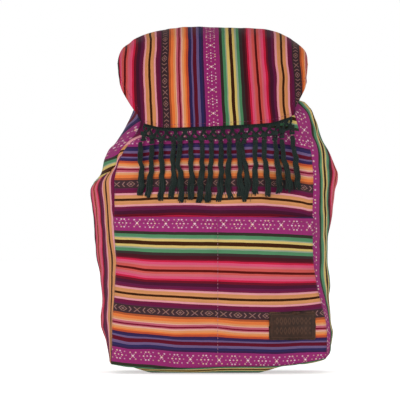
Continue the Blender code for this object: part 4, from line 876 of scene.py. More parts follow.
def dotted(s, p, q):
    """Where the wide band's ornament of dots shows. p and q are distances from a diamond's middle."""
    total = 0.0
    for along, dots in ((p, DIAMOND_DOTS), (MOTIF_TURN - p, CROSS_DOTS)):
        for du, dv, radius, strength in dots:
            a, b = (along - du) * 0.85, q - dv
            dot = s.ranged(s.math("SQRT", a * a + b * b), 0.5 * radius, 1.2 * radius, strength, 0.0)
            total = s.math("MAXIMUM", dot, total)
    return total


def lined(s, p, q):
    """Where the narrow band's ornament of lines shows: diamonds between chevrons, and crosses."""
    slanted = p + q * 1.36
    nearest = 1.0
    for line in (slanted - 3.9, slanted - 1.0, p + q * 0.8 - 8.3, MOTIF_TURN - p - q * 1.25):
        nearest = s.math("MINIMUM", abs(line), nearest)
    return s.ranged(nearest, 0.3, 0.85, 1.0, 0.0) * s.ranged(q, 2.2, 2.8, 1.0, 0.0)


def cloth_material(name, level, depth):
    """Warp-faced cloth: even yarns, each of one colour, in the stripes' order, with woven ornaments.

    level is how light it is, and a level below 1 is painted shade on a copy of the same cloth. A depth above
    1 makes its dark parts darker.
    """
    s = Shading(name, roughness=0.92, sheen=0.04, specular=0.10)
    along, across, spot = s.uv()
    moved = across + (s.noise(spot, 55.0) - 0.5) * 0.0009
    yarn = s.math("FLOOR", moved / YARN)
    own = s.node("ShaderNodeTexWhiteNoise", {"W": yarn}, noise_dimensions="1D")
    share = s.math("FRACT", (yarn + (own * 0.5 + 0.25)) * YARN / REPEAT)
    stops, at = [], 0.0
    for colour, width in STRIPES:
        stops.append((at / REPEAT_PX, linear(COLOURS[colour])))
        at += width
    half = len(stops) // 2
    late = s.math("GREATER_THAN", share, stops[half][0])
    colour = s.mix(late, s.bands(share, stops[:half]), s.bands(share, stops[half:]))

    within = s.math("FRACT", moved / REPEAT) * REPEAT
    p = s.math("PINGPONG", along / PIXEL, MOTIF_TURN)
    patch = s.ranged(s.noise(spot, 330.0, 1.0), 0.42, 0.60)
    q = abs(within - 7.3 * PIXEL) / PIXEL
    thread = s.mix(patch, linear((250, 226, 236)), linear((240, 208, 166)))
    colour = s.mix(dotted(s, p, q) * (q < 5.4) * 0.88, colour, thread)
    q = abs(within - stripe_at("umber") * PIXEL) / PIXEL
    thread = s.mix(patch, linear((186, 136, 136)), linear((178, 136, 112)))
    colour = s.mix(lined(s, p, q) * 0.58, colour, thread)

    fleck = s.noise(spot, 900.0)
    tone = 0.80 + (own * 0.14 + (s.noise(spot, 26.0, 3.0) * 0.16 + fleck * 0.14))
    # Between the yarns the tone falls to 0.80 of that on their crowns: painted shade in the grooves, which
    # the bump also draws
    rounded = abs(s.math("SINE", moved / YARN * math.pi))
    tone = tone * s.ranged(rounded, 0.0, 0.55, 0.80 * level, 1.04 * level)
    colour = s.node("ShaderNodeGamma", {"Color": s.bright(colour, tone), "Gamma": depth})
    beads = s.wave(along, 0.0016, s.math("MODULO", yarn, 2.0) * math.pi)
    return s.finish(colour, rounded * (0.72 + beads * 0.28) + fleck * 0.35, 0.00032, 0.55)


def cotton_material():
    s = Shading("lining_cotton", roughness=0.95, sheen=0.15, specular=0.15)
    along, across, spot = s.uv()
    tone = 0.78 + s.noise(spot, 40.0, 3.0) * 0.45
    height = s.wave(along, WEAVE) * s.wave(across, WEAVE) + s.noise(spot, 700.0) * 0.6
    return s.finish(s.bright(linear((34, 30, 34)), tone), height, 0.00025, 0.5)


def yarn_material(name, dark, light, ply=0.0011, sheen=0.1):
    """Twisted wool: dark and light fibres wound round each ply."""
    s = Shading(name, roughness=0.95, sheen=sheen, specular=0.06)
    along, across, _ = s.uv()
    wound_round = s.wave(along, ply, across * (math.tau / 0.0008))
    fibres = s.noise(s.place(), 1400.0, 3.0, 0.65)
    broad = s.noise(s.place(), 140.0, 3.0)
    share = s.node("ShaderNodeClamp", {0: fibres * 0.9 + (broad * 0.9 - 0.45)})
    return s.finish(s.mix(share, linear(dark), linear(light)), wound_round * 0.5 + fibres, 0.0003, 0.7)


def thread_material(name, colour):
    s = Shading(name, roughness=0.7, specular=0.3)
    twist = s.wave(s.uv()[0], 0.0007)
    # The colour is darker in the twist's grooves, down to 0.72 of its crowns: painted shade
    return s.finish(s.bright(linear(colour), 0.86 + twist * 0.14), twist, 0.0001, 0.5)


def webbing_material():
    s = Shading("ribbed_webbing", roughness=0.8, sheen=0.1, specular=0.3)
    along, across, spot = s.uv()
    ribs = abs(s.math("SINE", across * (math.pi / RIB)))
    lane = s.math("FLOOR", across / RIB)
    slope = (s.math("MODULO", lane, 2.0) * 2.0 - 1.0) * (across * (math.tau / 0.0024))
    twill = s.wave(along, 0.0018, slope)
    # The tone varies at random, and its twill term is painted shade in the twill's troughs and painted light
    # on its ridges
    tone = 0.75 + (s.noise(spot, 60.0, 3.0) * 0.5 + twill * 0.12)
    return s.finish(s.bright(linear((34, 34, 36)), tone), ribs + twill * 0.35, 0.0004, 0.6)


def leather_material():
    """Dark leather: fine grain, lighter where the edges are rubbed, and pressed rows of lozenges."""
    s = Shading("worn_leather", roughness=0.6, specular=0.2)
    along, across, spot = s.uv()
    cells = s.node("ShaderNodeTexVoronoi", {"Vector": spot, "Scale": 950.0}, "Distance", feature="F1")
    blotch = s.noise(spot, 90.0, 4.0, 0.6)
    edge = s.math("MINIMUM", PATCH_WIDTH / 2 - abs(along), PATCH_HEIGHT / 2 - abs(across))
    rubbed = s.ranged(edge, 0.0003, 0.0022, 1.0, 0.0) * s.ranged(blotch, 0.35, 0.65)
    border = s.ranged(abs(edge - 0.0034), 0.0002, 0.0006, 1.0, 0.0)
    row = abs(abs(across) - 0.0062)
    inside = (abs(along) < 0.0231) * (row < 0.0046)
    lozenge = abs(s.math("PINGPONG", along + 0.1, LOZENGE / 2) - LOZENGE / 4) + row * 0.42
    pressed = s.ranged(abs(lozenge - 0.0018), 0.0003, 0.0008, 1.0, 0.0) * inside
    pressed = s.math("MAXIMUM", pressed, border * 0.8)
    colour = s.mix(s.ranged(blotch, 0.3, 0.7), linear((42, 27, 19)), linear((60, 38, 27)))
    colour = s.mix(rubbed * 0.7, colour, linear((98, 68, 48)))
    colour = s.mix(pressed * 0.5, colour, linear((98, 66, 50)))
    height = cells * 0.9 + s.noise(spot, 900.0, 3.0) * 0.5 - pressed * 1.6
    return s.finish(colour, height, 0.00028, 0.6, s.ranged(blotch, 0.2, 0.8, 0.62, 0.46, "LINEAR"))


def plastic_material():
    s = Shading("moulded_plastic", specular=0.45)
    broad = s.noise(s.place(), 120.0)
    colour = s.bright(linear((32, 32, 34)), 0.85 + broad * 0.3)
    return s.finish(colour, s.noise(s.place(), 2600.0), 0.00012, 0.4, s.ranged(broad, 0.3, 0.7, 0.36, 0.50))


def metal_material(name, colour, dark, roughness):
    s = Shading(name, metallic=1.0)
    patina = s.noise(s.place(), 420.0, 4.0, 0.6)
    mixed = s.mix(s.ranged(patina, 0.42, 0.68), linear(colour), linear(dark))
    rough = s.ranged(patina, 0.3, 0.7, roughness, roughness + 0.25)
    return s.finish(mixed, s.noise(s.place(), 1800.0), 0.00006, 0.4, rough)


# The body's panels

# How far the upper front's stripes sit below their places, in pixels, by the photograph's columns and rows
UPPER_PX = (122, 136, 156, 177, 196, 216, 233, 259, 271, 284, 301, 308)
UPPER_PY = (130, 146, 166, 178, 200, 212)
UPPER = (
    (1.3, 1.5, -0.5, -1.1, -2.3, -1.8, -2, -2.5, -1.3, -0.7, 2.2, 3.8),
    (1.2, 1.4, -0.7, -1.1, -2.2, -1.6, -1.9, -2.8, -1.5, -0.9, 2.1, 3.8),
    (0.8, 1.6, -0.2, -1.4, -1.2, -0.6, -1, -2.1, -0.5, 0.2, 3.7, 4.8),
    (1, 0.7, -0.1, -0.6, -0.8, -0.7, -0.7, -0.9, 0.1, 1.1, 4.2, 5.3),
    (1.2, 0.7, -0.2, -0.6, -0.8, 0.5, -0.3, -0.7, 0.1, 1.1, 3.5, 5.5),
    (0.8, 0, -0.4, -1.3, -0.9, -0.2, -0.3, -0.3, 0, 1, 3.1, 5.1),
)

# Where three stripes show on each gusset, by the photograph's rows, in its columns
RIGHT_ROWS = (
    (98, 301.5, 305.5, 311), (110, 306.5, 312, 318), (124, 311.5, 316.3, 322), (140, 315.5, 319.5, 325.5),
    (150, 315.9, 320.8, 327.5), (160, 317.5, 323.2, 330), (166, 319, 324, 330.2),
    (178, 319.3, 324.6, 329.9), (190, 319.3, 324.1, 329.3), (202, 318.7, 324.1, 328.2),
    (214, 319.2, 324.8, 328.2), (232, 320.3, 326, 331), (260, 320.4, 326, 331), (280, 320.7, 326.7, 332),
    (290, 322, 328.5, 333.5), (300, 324.3, 330, 335), (310, 327.5, 332.5, 337.5), (320, 329, 334, 339),
    (330, 330.5, 335.5, 340.5), (350, 330.3, 335.3, 340.3),
)
LEFT_ROWS = (
    (130, 128, 122, 118), (142, 121, 115, 111), (154, 114.5, 109, 105.5), (160, 111, 105.5, 102),
    (168, 107, 101.5, 98.7), (180, 106, 101.3, 98.5), (190, 105.5, 100, 97), (200, 106.3, 101.3, 99.2),
    (210, 107.2, 102, 100.2), (227, 108.3, 103.8, 101.9), (245, 109.8, 104.2, 102.2),
    (255, 111.8, 105, 103), (264, 112.3, 105.4, 103.3), (275, 111.4, 105.5, 103.3),
    (290, 110.7, 105, 103), (310, 109.9, 104.5, 103), (330, 109.6, 106.2, 105),
    (345, 109.8, 106.4, 105.3), (357, 110.4, 107.4, 106.3),
)

# The stripes' place at the middle of the back, in pixels
BACK_MIDDLE = -84

# The stripes' places at the left shoulder: rows, the place at the seam, and the place at the outline
SHOULDER = (
    (100, -8, -19), (112, -4, -13.5), (120, 0, -10), (126, 6, -6.5), (130, 9.5, -4.8), (134, 11.5, -3),
    (138, 12.3, -1.2), (146, 13.5, 1), (152, 15, 5), (156, 17, 10), (160, 20, 16.5), (166, 26.5, 21),
    (172, 30, 25.5), (178, 33, 29.5), (186, 35, 33), (200, 37.4, 37.4),
)


def gusset_across(part, arc, rows, values, way, near_rate, far_rate):
    """The place in the stripes over a gusset, from the marks of the photograph's rows.

    arc runs from the front seam. way is +1 where the places grow away from the seam, -1 where they fall.
    The rates are places per pixel before the first mark and after the last.
    """
    flip = arc[0, 0] > arc[0, -1]
    lines, points = (arc[:, ::-1], part[:, ::-1]) if flip else (arc, part)
    shown = way * seen_x(points[..., 0], points[..., 1])
    py = row_of(points[:, 0, 2])
    at, places = np.zeros((len(lines), 4)), np.zeros((len(lines), 4))
    for r, line in enumerate(lines):
        marks = [way * float(listed(rows, py[r], k)) for k in (1, 2, 3)]
        rate = near_rate * (1 + 1.5 * smooth(290, 312, py[r]) * (way > 0))
        near = values[0] - way * rate * abs(marks[0] - shown[r, 0])
        most = float(np.interp(py[r], (148, 158), (77.2, 94.0)))
        places[r, 0] = max(near, 0.3) if way > 0 else min(near, most)
        for k, value in enumerate(values, 1):
            places[r, k] = way * max(way * value, way * places[r, k - 1] + 0.6)
        widest = int(np.argmax(shown[r]))
        for k, mark in enumerate(marks, 1):
            spot = float(np.interp(mark, shown[r, : widest + 1], line[: widest + 1]))
            spot += max(mark - shown[r, widest], 0) * PIXEL
            step = abs(places[r, k] - places[r, k - 1]) * PIXEL
            at[r, k] = np.clip(spot, at[r, k - 1] + step / 1.9, at[r, k - 1] + step / 0.55)
    at, calm = blurred(at, 5), blurred(at, 14)
    across = np.zeros(lines.shape)
    for r, line in enumerate(lines):
        past = np.maximum(line - at[r, 3], 0)
        last = at[r, 3] + (calm[r, 3] - at[r, 3]) * smooth(0, 0.04, past)
        beyond = places[r, 3] + way * (line - last) * far_rate / PIXEL
        across[r] = np.where(past > 0, beyond, np.interp(line, at[r], places[r]))
    across = blurred(across, 1) * PIXEL
    return across[:, ::-1] if flip else across


def shoulder_across(part, arc):
    """The place in the stripes over the back: as the left shoulder shows them, and straight beyond it."""
    x, z = part[..., 0], part[..., 2]
    py = row_of(z)
    shown = seen_x(x, part[..., 1])
    outermost = np.argmin(shown, axis=1)[:, None]
    reach = np.maximum(blurred(np.take_along_axis(arc, outermost, axis=1), 3), 6.0)
    span = np.maximum(shown[:, -1:] - np.take_along_axis(shown, outermost, axis=1), 0.5)
    inside = np.where(arc > reach, 1, np.clip(0.4 * arc / reach + 0.6 * (shown[:, -1:] - shown) / span, 0, 1))
    seam, edge = (listed(SHOULDER, py, k) for k in (1, 2))
    middle = blurred(np.take_along_axis(arc, np.argmin(np.abs(x), axis=1)[:, None], axis=1), 3)
    share = np.clip((middle - arc) / (middle - reach), 0, 1)
    over = edge + (BACK_MIDDLE - edge) * (1 - share)
    straight = BACK_MIDDLE - 0.96 * x / PIXEL
    beyond = straight + (over - straight) * smooth(0.15, 0.9, share)
    place = np.where(arc > reach, beyond, seam + (edge - seam) * inside)
    place = place + (straight - place) * smooth(168, 190, py)
    return (REPEAT_PX + place) * PIXEL + 0.0006 * np.sin(z / 0.03)


def body_pieces(cloth):
    heights = np.arange(BASE_SEAM_Z, PANEL_TOP_Z, ROW_STEP)
    heights[-1] = PANEL_TOP_Z
    grid = body_rows(heights)
    ends = FINE * np.cumsum([0, *PLEATS])
    names = ("front_panel", "side_panel_right", "back_panel", "side_panel_left")
    broad = Field(3, 0.05, 0.12)
    small = Field(5, 0.016, 0.034)
    pucker = Field(8, 0.007, 0.013, squash=(0.3, 0.3, 1))
    for name, first, last in zip(names, ends[:-1], ends[1:]):
        part = grid[:, [c % grid.shape[1] for c in range(first, last + 1)]]
        edge, parts = border_distance(part)
        seam = np.minimum(np.minimum(parts["l"], parts["r"]), 0.05)
        calm = smooth(0.0, 0.020, seam) * (1 - smooth(PANEL_TOP_Z - 0.03, PANEL_TOP_Z, part[..., 2]))
        lift = 0.0012 * broad(part) * calm + 0.0005 * small(part) * calm
        lift += 0.00055 * pucker(part) * np.exp(-seam / 0.007) * smooth(0.0, 0.002, seam)
        if name == "front_panel":
            lift *= smooth(POCKET_TOP_Z - 0.002, POCKET_TOP_Z + 0.03, part[..., 2])
        part = raised(part, lift - 0.0013 * bell(edge, SEAM_DENT))
        along = part[..., 2]
        if name == "front_panel":
            along, py = part[..., 0], row_of(part[..., 2])
            sag = table_at(column_of(along), py, UPPER_PX, UPPER_PY, UPPER)
            across = (stripe_at("brown", 1) + (199.2 + sag - py)) * PIXEL
        elif name == "side_panel_left":
            values = (stripe_at("brown", 1), stripe_at("plum"), stripe_at("red", 1))
            across = gusset_across(part, parts["r"], LEFT_ROWS, values, -1, 1.17, 0.95)
        elif name == "side_panel_right":
            values = (15.5, stripe_at("brown"), stripe_at("wine"))
            across = gusset_across(part, parts["l"], RIGHT_ROWS, values, 1, 1.0, 1.25)
        else:
            across = shoulder_across(part, parts["r"] / PIXEL)
        sheet_piece(f"{name}_cloth", part, along, across, cloth, replaces=[name])


# How high the bag's underside stands over the floor along its width, in metres
UNDERSIDE = (
    (-0.142, 0.016), (-0.131, 0.0135), (-0.117, 0.0108), (-0.104, 0.0075), (-0.095, 0.0045),
    (-0.086, 0.0018), (-0.078, 0), (0.048, 0), (0.061, 0.0034), (0.0876, 0.01), (0.1207, 0.0135),
    (0.136, 0.018), (0.146, 0.022),
)


def bottom_piece(cloth):
    """The bottom, from the seam to the flat middle that the bag stands on."""
    base = body_rows(np.array([BASE_SEAM_Z]))[0]
    middle = float(through(SLUMP, 0))
    drop = [(0.0, 1.0), (0.1, 0.45), (0.3, 0.12), (1.0, 0.0), (2.0, 0.0)]
    rows = []
    for inset in np.concatenate([np.linspace(1.985, 1.0, 10), np.linspace(1.0, 0.0, 20)[1:]]):
        reach = inset * FLAT_INSET
        row = base.copy()
        row[:, 0] = middle + (base[:, 0] - middle) * (1 - reach / BASE_HALF)
        row[:, 1] = base[:, 1] * (1 - reach / BACK_SEAM_Y)
        row[:, 2] = base[:, 2] * float(through(drop, inset))
        rows.append(row)
    grid = all_round(np.array(rows))
    base = np.concatenate([base, base[:1]])
    grid[:, :, 2] += 0.0005 * (1 - smooth(0.0, 0.003, grid[:, :, 2]))
    grid[:, :, 2] = np.maximum(grid[:, :, 2], through(UNDERSIDE, grid[:, :, 0]))
    edge, _ = border_distance(grid, "t")
    lift = 0.0004 * Field(21, 0.010, 0.022)(grid) * smooth(0.002, 0.006, grid[..., 2])
    grid = raised(grid, lift - 0.0012 * bell(edge, SEAM_DENT))
    grid[..., 2] = np.maximum(grid[..., 2], 0.0)
    x, y = grid[..., 0], grid[..., 1]
    depth = np.where(grid[-1:, :, 1] < 0, y - grid[-1:, :, 1], 0.03)
    rate = 3.2 + 1.8 * smooth(0.02, 0.08, -x)
    across = 18.0 * PIXEL + rate * (base[None, :, 2] - grid[..., 2]) + np.maximum(depth - 0.015, 0)
    sheet_piece("bottom_cloth", grid, x, across, cloth, replaces=["bottom_panel"])


def ruffle_piece(cloth, thread):
    grid = all_round(np.array([body_row(z) for z in np.linspace(PANEL_TOP_Z, COLLAR_TOP_Z, 18)]))
    normals = normals_of(grid)
    rise = smooth(CORD_Z, COLLAR_TOP_Z, grid[..., 2])
    grid = grid + normals * (0.0007 * Field(31, 0.010, 0.024)(grid) * rise)[..., None]
    across = (stripe_at("magenta") + 3) * PIXEL + grid[..., 2] - PANEL_TOP_Z
    sheet_piece("ruffle_cloth", grid, lengths_of(grid[-1]), across, cloth, replaces=["mouth_collar"])
    hem = 0.75 * grid[-1] + 0.25 * grid[-3]
    stitches("ruffle_hem_thread", hem, normals[-2], thread, slot="striped_cloth")


def casing_piece(cloth):
    clear = 2 * CORD_RADIUS + 4 * SEAM_GAP
    start = -90 + math.degrees(math.asin(CASING_OPENING / THROAT_HALF_X))
    turns = np.radians(np.linspace(start, 180 - start, 200))
    rows = []
    for height in np.linspace(-CASING_HEIGHT / 2, CASING_HEIGHT / 2, 13):
        share = 1 - abs(2 * height / CASING_HEIGHT) ** 3
        half_x, half_y = throat_at(CORD_Z + height)
        out = 2 * SEAM_GAP + share * clear + 0.001 + 0.0003 * np.sin(turns * 60) * share
        x, y = (half_x + out) * np.cos(turns), THROAT_Y + (half_y + out) * np.sin(turns)
        rows.append(points_of(x, y, CORD_Z + height))
    grid = np.array(rows)
    across = (stripe_at("magenta") - 2) * PIXEL + grid[..., 2] - CORD_Z
    along = lengths_of(grid[6])
    sheet_piece("casing_cloth", grid, along, across, cloth, CASING_CLOTH, replaces=["drawstring_casing"])


def lining_piece(cotton):
    """The inner bag. It follows the gathered cloth's inner side, loose below and tight at the throat."""
    gathered = np.linspace(GATHER_Z, PANEL_TOP_Z, 12)[1:]
    heights = np.concatenate([np.linspace(BASE_SEAM_Z, GATHER_Z, 40), gathered])
    grid = body_rows(heights, pleated=False)
    centre = np.array([0.0, THROAT_Y])
    loose = LINING_EASE + CLOTH
    for row, z in zip(grid, heights):
        share = float(smooth(GATHER_Z, PANEL_TOP_Z, z))
        inset = (1 - share) * loose + share * (CLOTH + EASE)
        row[:, :2] += unit(centre - row[:, :2]) * inset * 1.25
    floor = []
    for share in np.linspace(0.08, 0.96, 12):
        row = grid[0].copy()
        row[:, :2] = centre + (row[:, :2] - centre) * share
        row[:, 2] = np.maximum(loose, through(UNDERSIDE, row[:, 0]) + LINING_EASE)
        floor.append(row)
    grid[0][:, 2] += loose
    grid[1:6, :, 2] = np.maximum(grid[1:6, :, 2], grid[0][None, :, 2])
    grid = all_round(np.concatenate([np.array(floor), grid]))[:, ::2]
    z = grid[..., 2]
    calm = smooth(0.02, 0.06, z) * (1 - smooth(GATHER_Z - 0.02, PANEL_TOP_Z - 0.01, z))
    grid = raised(grid, -0.0012 * (1 + Field(41, 0.02, 0.06)(grid)) * calm)
    sheet_piece(
        "inner_bag_cotton", grid, lengths_of(grid[25]), grid[..., 2], cotton, LINING,
        slot="lining_cotton", replaces=["lining"],
    )


# The pocket and the leather patch

# How far the pocket's stripes sit above (-) or below (+) their places, in pixels, by column and row
WARP_PX = (112, 119, 131, 149, 179, 209, 245, 275, 305, 330)
WARP_PY = (217, 244.4, 271.9, 299.6, 329.1, 344.1, 372)
WARP = (
    (-1.5, -1.2, -1, -0.8, -0.6, -0.3, 0, 0.6, 1.4, 2),
    (-4, -3, -2.7, -1.7, -1, -0.7, 0, 1, 2.9, 5),
    (-8, -6.6, -4.9, -2.1, -1.6, -1.2, 0, 0.9, 1.6, 2),
    (-9, -7.9, -6.1, -5, -3.2, -1.5, 0, 0.4, -0.9, -4),
    (-9, -7.6, -6.3, -4.6, -2.7, -3.1, -0.2, 0.4, -1, -1.8),
    (-7.2, -5.9, -4.1, -4.3, -1.7, -1, -0.3, 0.4, -0.6, -0.6),
    (-8, -7.2, -6, -4.6, -1.6, -0.6, 0, 0.8, -1, -4),
)


def pocket_pieces(cloth, thread, pale):
    heights = np.linspace(BASE_SEAM_Z, POCKET_TOP_Z, int(POCKET_HEIGHT / 0.0026))
    grid = body_rows(heights)[:, : FINE * PLEATS[0] + 1]
    rows, columns = grid.shape[:2]
    middle = (columns - 1) // 2
    steps = np.arange(columns)
    for row in grid:
        at = float(np.interp(POCKET_MIDDLE_X, row[:, 0], steps))
        row[:] = points_at(row, steps, np.interp(steps, [0, middle, columns - 1], [0, at, columns - 1]))
    normals = normals_of(grid)
    fill = np.sin(math.pi * np.linspace(0, 1, rows)[:, None] * 0.62)
    bow = np.abs(np.sin(math.pi * steps / middle)) ** 0.8
    slack = POCKET_SLACK * fill * bow[None, :]
    broad = Field(51, 0.035, 0.08, squash=(1, 1, 1.6))
    small = Field(53, 0.012, 0.026)
    pucker = Field(55, 0.007, 0.012, squash=(0.3, 0.3, 1))
    gathers = Field(57, 0.016, 0.03, squash=(1, 1, 0.2))
    near, parts = border_distance(grid, "lr")
    centre = np.abs(parts["l"] - parts["l"][:, middle : middle + 1])
    seams = np.minimum(near, centre)
    hem = parts["t"]
    calm = smooth(0.0, 0.016, seams) * smooth(0.0, 0.03, grid[..., 2] - BASE_SEAM_Z)
    lift = 0.0013 * (broad(grid) - 0.2) * calm + 0.0005 * small(grid) * calm
    lift += 0.0006 * (pucker(grid) + 0.6) * np.exp(-seams / 0.006) * smooth(0.0, 0.002, seams)
    lift += 0.0009 * (gathers(grid) + 0.5) * np.exp(-(grid[..., 2] - grid[:1, :, 2]) / 0.010)
    lift += 0.0006 * (1 - smooth(0.0075, 0.0085, hem)) - 0.0005 * bell(hem - 0.0078, 0.0007)
    lift -= 0.0012 * bell(np.minimum(near, parts["b"]), SEAM_DENT)
    lift -= 0.0007 * bell(centre, 0.0009) + 0.0007 * bell(hem, 0.0007)
    outer = grid + normals * (SEAM_GAP + CLOTH + slack + np.maximum(lift, -0.0012))[..., None]
    px, py = column_of(outer[..., 0]), row_of(outer[..., 2])
    across = (py - 216.8 - table_at(px, py, WARP_PX, WARP_PY, WARP)) * PIXEL
    along = (px - 209.0 + 4.3 * smooth(326, 348, py)) * PIXEL
    sheet_piece("pocket_cloth", outer, along, across, cloth, replaces=["front_pocket"])

    line = outer[3 : rows - 1, middle]
    stitches("pocket_middle_thread", line, normals[3 : rows - 1, middle], pale, radius=0.00036)
    down = line_below(outer, hem, POCKET_HEM)
    stitches("pocket_hem_thread", down[2:-2], normals[-3, 2:-2], thread)
    return outer


def line_below(grid, hem, distance):
    """The line on a grid at a distance from its last row. hem has each point's distance."""
    return np.array([points_at(grid[::-1, c], hem[::-1, c], [distance])[0] for c in range(grid.shape[1])])


def patch_pieces(pocket, leather, thread):
    tree = tree_of_grid(pocket)
    half = np.array([PATCH_WIDTH, PATCH_HEIGHT]) / 2
    spots = points_of(np.linspace(-half[0], half[0], 60), np.linspace(-half[1], half[1], 38)[:, None])
    over = np.maximum(np.abs(spots) - (half - PATCH_CORNER), 0)
    long = np.hypot(over[..., :1], over[..., 1:])
    reach = half - PATCH_CORNER + over * PATCH_CORNER / np.maximum(long, PATCH_CORNER)
    spots = np.where(long > PATCH_CORNER, np.copysign(reach, spots), spots)
    x, z = PATCH_X + spots[..., 0], PATCH_Z + spots[..., 1]
    pocket_y = np.array([front_y(tree, *spot) for spot in zip(x.ravel(), z.ravel())]).reshape(x.shape)
    grid = points_of(x, pocket_y, z)
    for _ in range(8):
        grid[1:-1, 1:-1, 1] = (
            grid[:-2, 1:-1, 1] + grid[2:, 1:-1, 1] + grid[1:-1, :-2, 1] + grid[1:-1, 2:, 1]
        ) / 4
    edge, _ = border_distance(grid)
    lift = 0.0019 - 0.0009 * bell(edge, 0.0008) - 0.0003 * bell(edge - 0.0024, 0.0007)
    grid[..., 1] = np.minimum(grid[..., 1] - lift, pocket_y - 0.0008)
    sheet_piece(
        "patch_leather", grid, spots[..., 0], spots[..., 1], leather, LEATHER,
        slot="leather", replaces=["leather_patch"],
    )
    corners = np.array([(-1, -1), (1, -1), (1, 1), (-1, 1), (-1, -1)]) * (half - PATCH_SEAM)
    ring = [a + (b - a) * t for a, b in zip(corners[:-1], corners[1:]) for t in np.linspace(0, 1, 24)]
    surface = tree_of_grid(grid)
    line = [(PATCH_X + u, front_y(surface, PATCH_X + u, PATCH_Z + v), PATCH_Z + v) for u, v in ring]
    stitches(
        "patch_thread", line, [FORWARD] * len(line), thread,
        length=0.0024, gap=0.0010, radius=0.0003, slot="leather",
    )


# The flap

# How far the flap's stripes lie to the right of even places, by the photograph's columns and rows
FLAP_PX = (130, 142, 150, 162, 174, 186, 210, 226, 240, 256, 268, 283, 296)
FLAP_PY = (34, 41, 48, 62, 76, 90, 104, 118)
FLAP = (
    (1.5, 2.5, 1.5, 1.75, 1.25, 0.75, 0.8, 0.5, 0.25, -0.25, 0.25, 0.25, 0),
    (2.75, 3.25, 2.75, 2, 1.5, 1.25, 0.75, 0.25, 0.25, -0.5, 0, -0.25, 0),
    (2.5, 3.5, 2.75, 2.5, 1.5, 1.25, 0.75, 0.25, 0.25, -0.5, -0.25, -0.75, -0.5),
    (1.5, 2.25, 1.75, 1.5, 1.25, 0.75, 0.7, 0.5, 0.25, -0.5, -0.5, -1.25, -1.25),
    (1.5, 1.75, 1.75, 1.5, 1.25, 0.75, 0.7, 0.5, 0.25, -0.25, 0.5, -0.25, -0.5),
    (0.75, 1.75, 1.75, 1.25, 0.75, 0.75, 0.7, 0.5, 0.5, 0.25, 0, -1.5, -0.75),
    (0.25, 1.5, 1.25, 1.25, 0.25, 0.25, 0.5, 0.25, 0.25, 0.25, -0.25, -2.25, -1.5),
    (1.5, 1.75, 1.75, 1.5, 0.75, 0.5, 0.7, 0.75, 0.75, 0.5, 0.75, -1.5, -0.75),
)


def flap_surface(body, rows=84, columns=120):
    top_z = COLLAR_TOP_Z + FLAP_CREST
    back_drop = top_z - GATHER_Z - FLAP_SEAM_RISE
    layers = CLOTH + SEAM_GAP + LINING
    edge_y = front_y(body, 0, top_z - FLAP_DROP) - layers - 2 * SNAP_PLATE - 3 * SEAM_GAP
    spots = [(FLAP_BACK_HALF * s, top_z - back_drop) for s in (-1, -0.5, 0, 0.5, 1)]
    seam_y = back_y(body, *spots) + layers + 2 * EASE
    stations = [
        (0.00, seam_y, back_drop, FLAP_BACK_HALF, 0.0, -0.002),
        (0.12, seam_y + 0.0075, 0.70 * back_drop, 0.83 * FLAP_HALF, 0.012, -0.006),
        (0.25, seam_y + 0.0060, 0.38 * back_drop, 0.94 * FLAP_HALF, 0.50 * FLAP_ARCH, -0.009),
        (0.38, 0.70 * seam_y, 0.10 * back_drop, 0.99 * FLAP_HALF, 0.82 * FLAP_ARCH, -0.010),
        (0.50, THROAT_Y, 0.0, FLAP_HALF, FLAP_ARCH, 0.0),
        (0.62, 0.50 * edge_y, 0.08 * FLAP_DROP, FLAP_HALF, 0.88 * FLAP_ARCH, 0.012),
        (0.75, 0.80 * edge_y, 0.32 * FLAP_DROP, 0.985 * FLAP_HALF, 0.60 * FLAP_ARCH, 0.020),
        (0.88, 0.93 * edge_y, 0.67 * FLAP_DROP, 0.90 * FLAP_HALF, 0.18 * FLAP_ARCH, 0.024),
        (1.00, edge_y, FLAP_DROP, FLAP_EDGE_HALF, -FLAP_CORNER_RISE, 0.022),
    ]
    made = []
    for t in np.linspace(0, 1, rows):
        y, drop, half, arch, wrap = (
            float(through([(s[0], s[k]) for s in stations], t)) for k in range(1, 6)
        )
        lean = FLAP_LEAN * (1 - abs(2 * t - 1) ** 2)
        tilt = FLAP_TILT * float(smooth(0.6, 1.0, t))
        turns = np.linspace(-math.pi / 2, math.pi / 2, 361)
        u = signed_power(np.sin(turns), 2 / 3)
        bend = 1 - np.maximum(np.cos(turns), 0) ** (2 / 3)
        x = half * u
        line = points_of(lean + x, y + wrap * np.abs(u) ** 2.5, top_z - drop - arch * bend + tilt * x)
        made.append(even(line, columns + 1))
    grid = np.array(made)[:, ::-1]
    py = row_of(grid[..., 2])
    far = np.abs(grid[..., 0]) / FLAP_HALF
    right = 3.0 * bell(py - 50, 8) + bell(py - 61, 6) - bell(py - 80, 8)
    fuller = np.where(grid[..., 0] > 0, right, 3.0 * bell(py - 42, 4))
    grid[..., 0] += PIXEL * fuller * smooth(0.75, 1.0, far)
    grid[..., 2] += 0.7 * PIXEL * bell(py - 29, 6) * (1 - smooth(0.55, 0.95, far))
    share = far * FLAP_HALF / np.abs(grid[..., 0]).max(axis=1, keepdims=True)
    low = smooth(0.86, 1.0, np.linspace(0, 1, rows))[:, None]
    grid[..., 2] += 2.3 * PIXEL * low * smooth(0.70, 0.95, share)
    return grid


# The stripes' places across the flap, by the photograph's columns
FLAP_MARKS = (
    (112.0, stripe_at("rust") - 13.6),
    (124.4, stripe_at("rust")),
    (148.9, stripe_at("brown", 1)),
    (178.6, stripe_at("crimson")),
    (194.9, stripe_at("burgundy")),
    (231.5, stripe_at("brown") + REPEAT_PX),
    (257.4, stripe_at("rust") + REPEAT_PX),
    (282.9, stripe_at("brown", 1) + REPEAT_PX),
    (312.0, stripe_at("brown", 1) + 31.0 + REPEAT_PX),
    (340.0, stripe_at("brown", 1) + 59.0 + REPEAT_PX),
)
# How far from the middle the flap folds over at its right and at its left
FLAP_FOLDS = (0.108, 0.118)


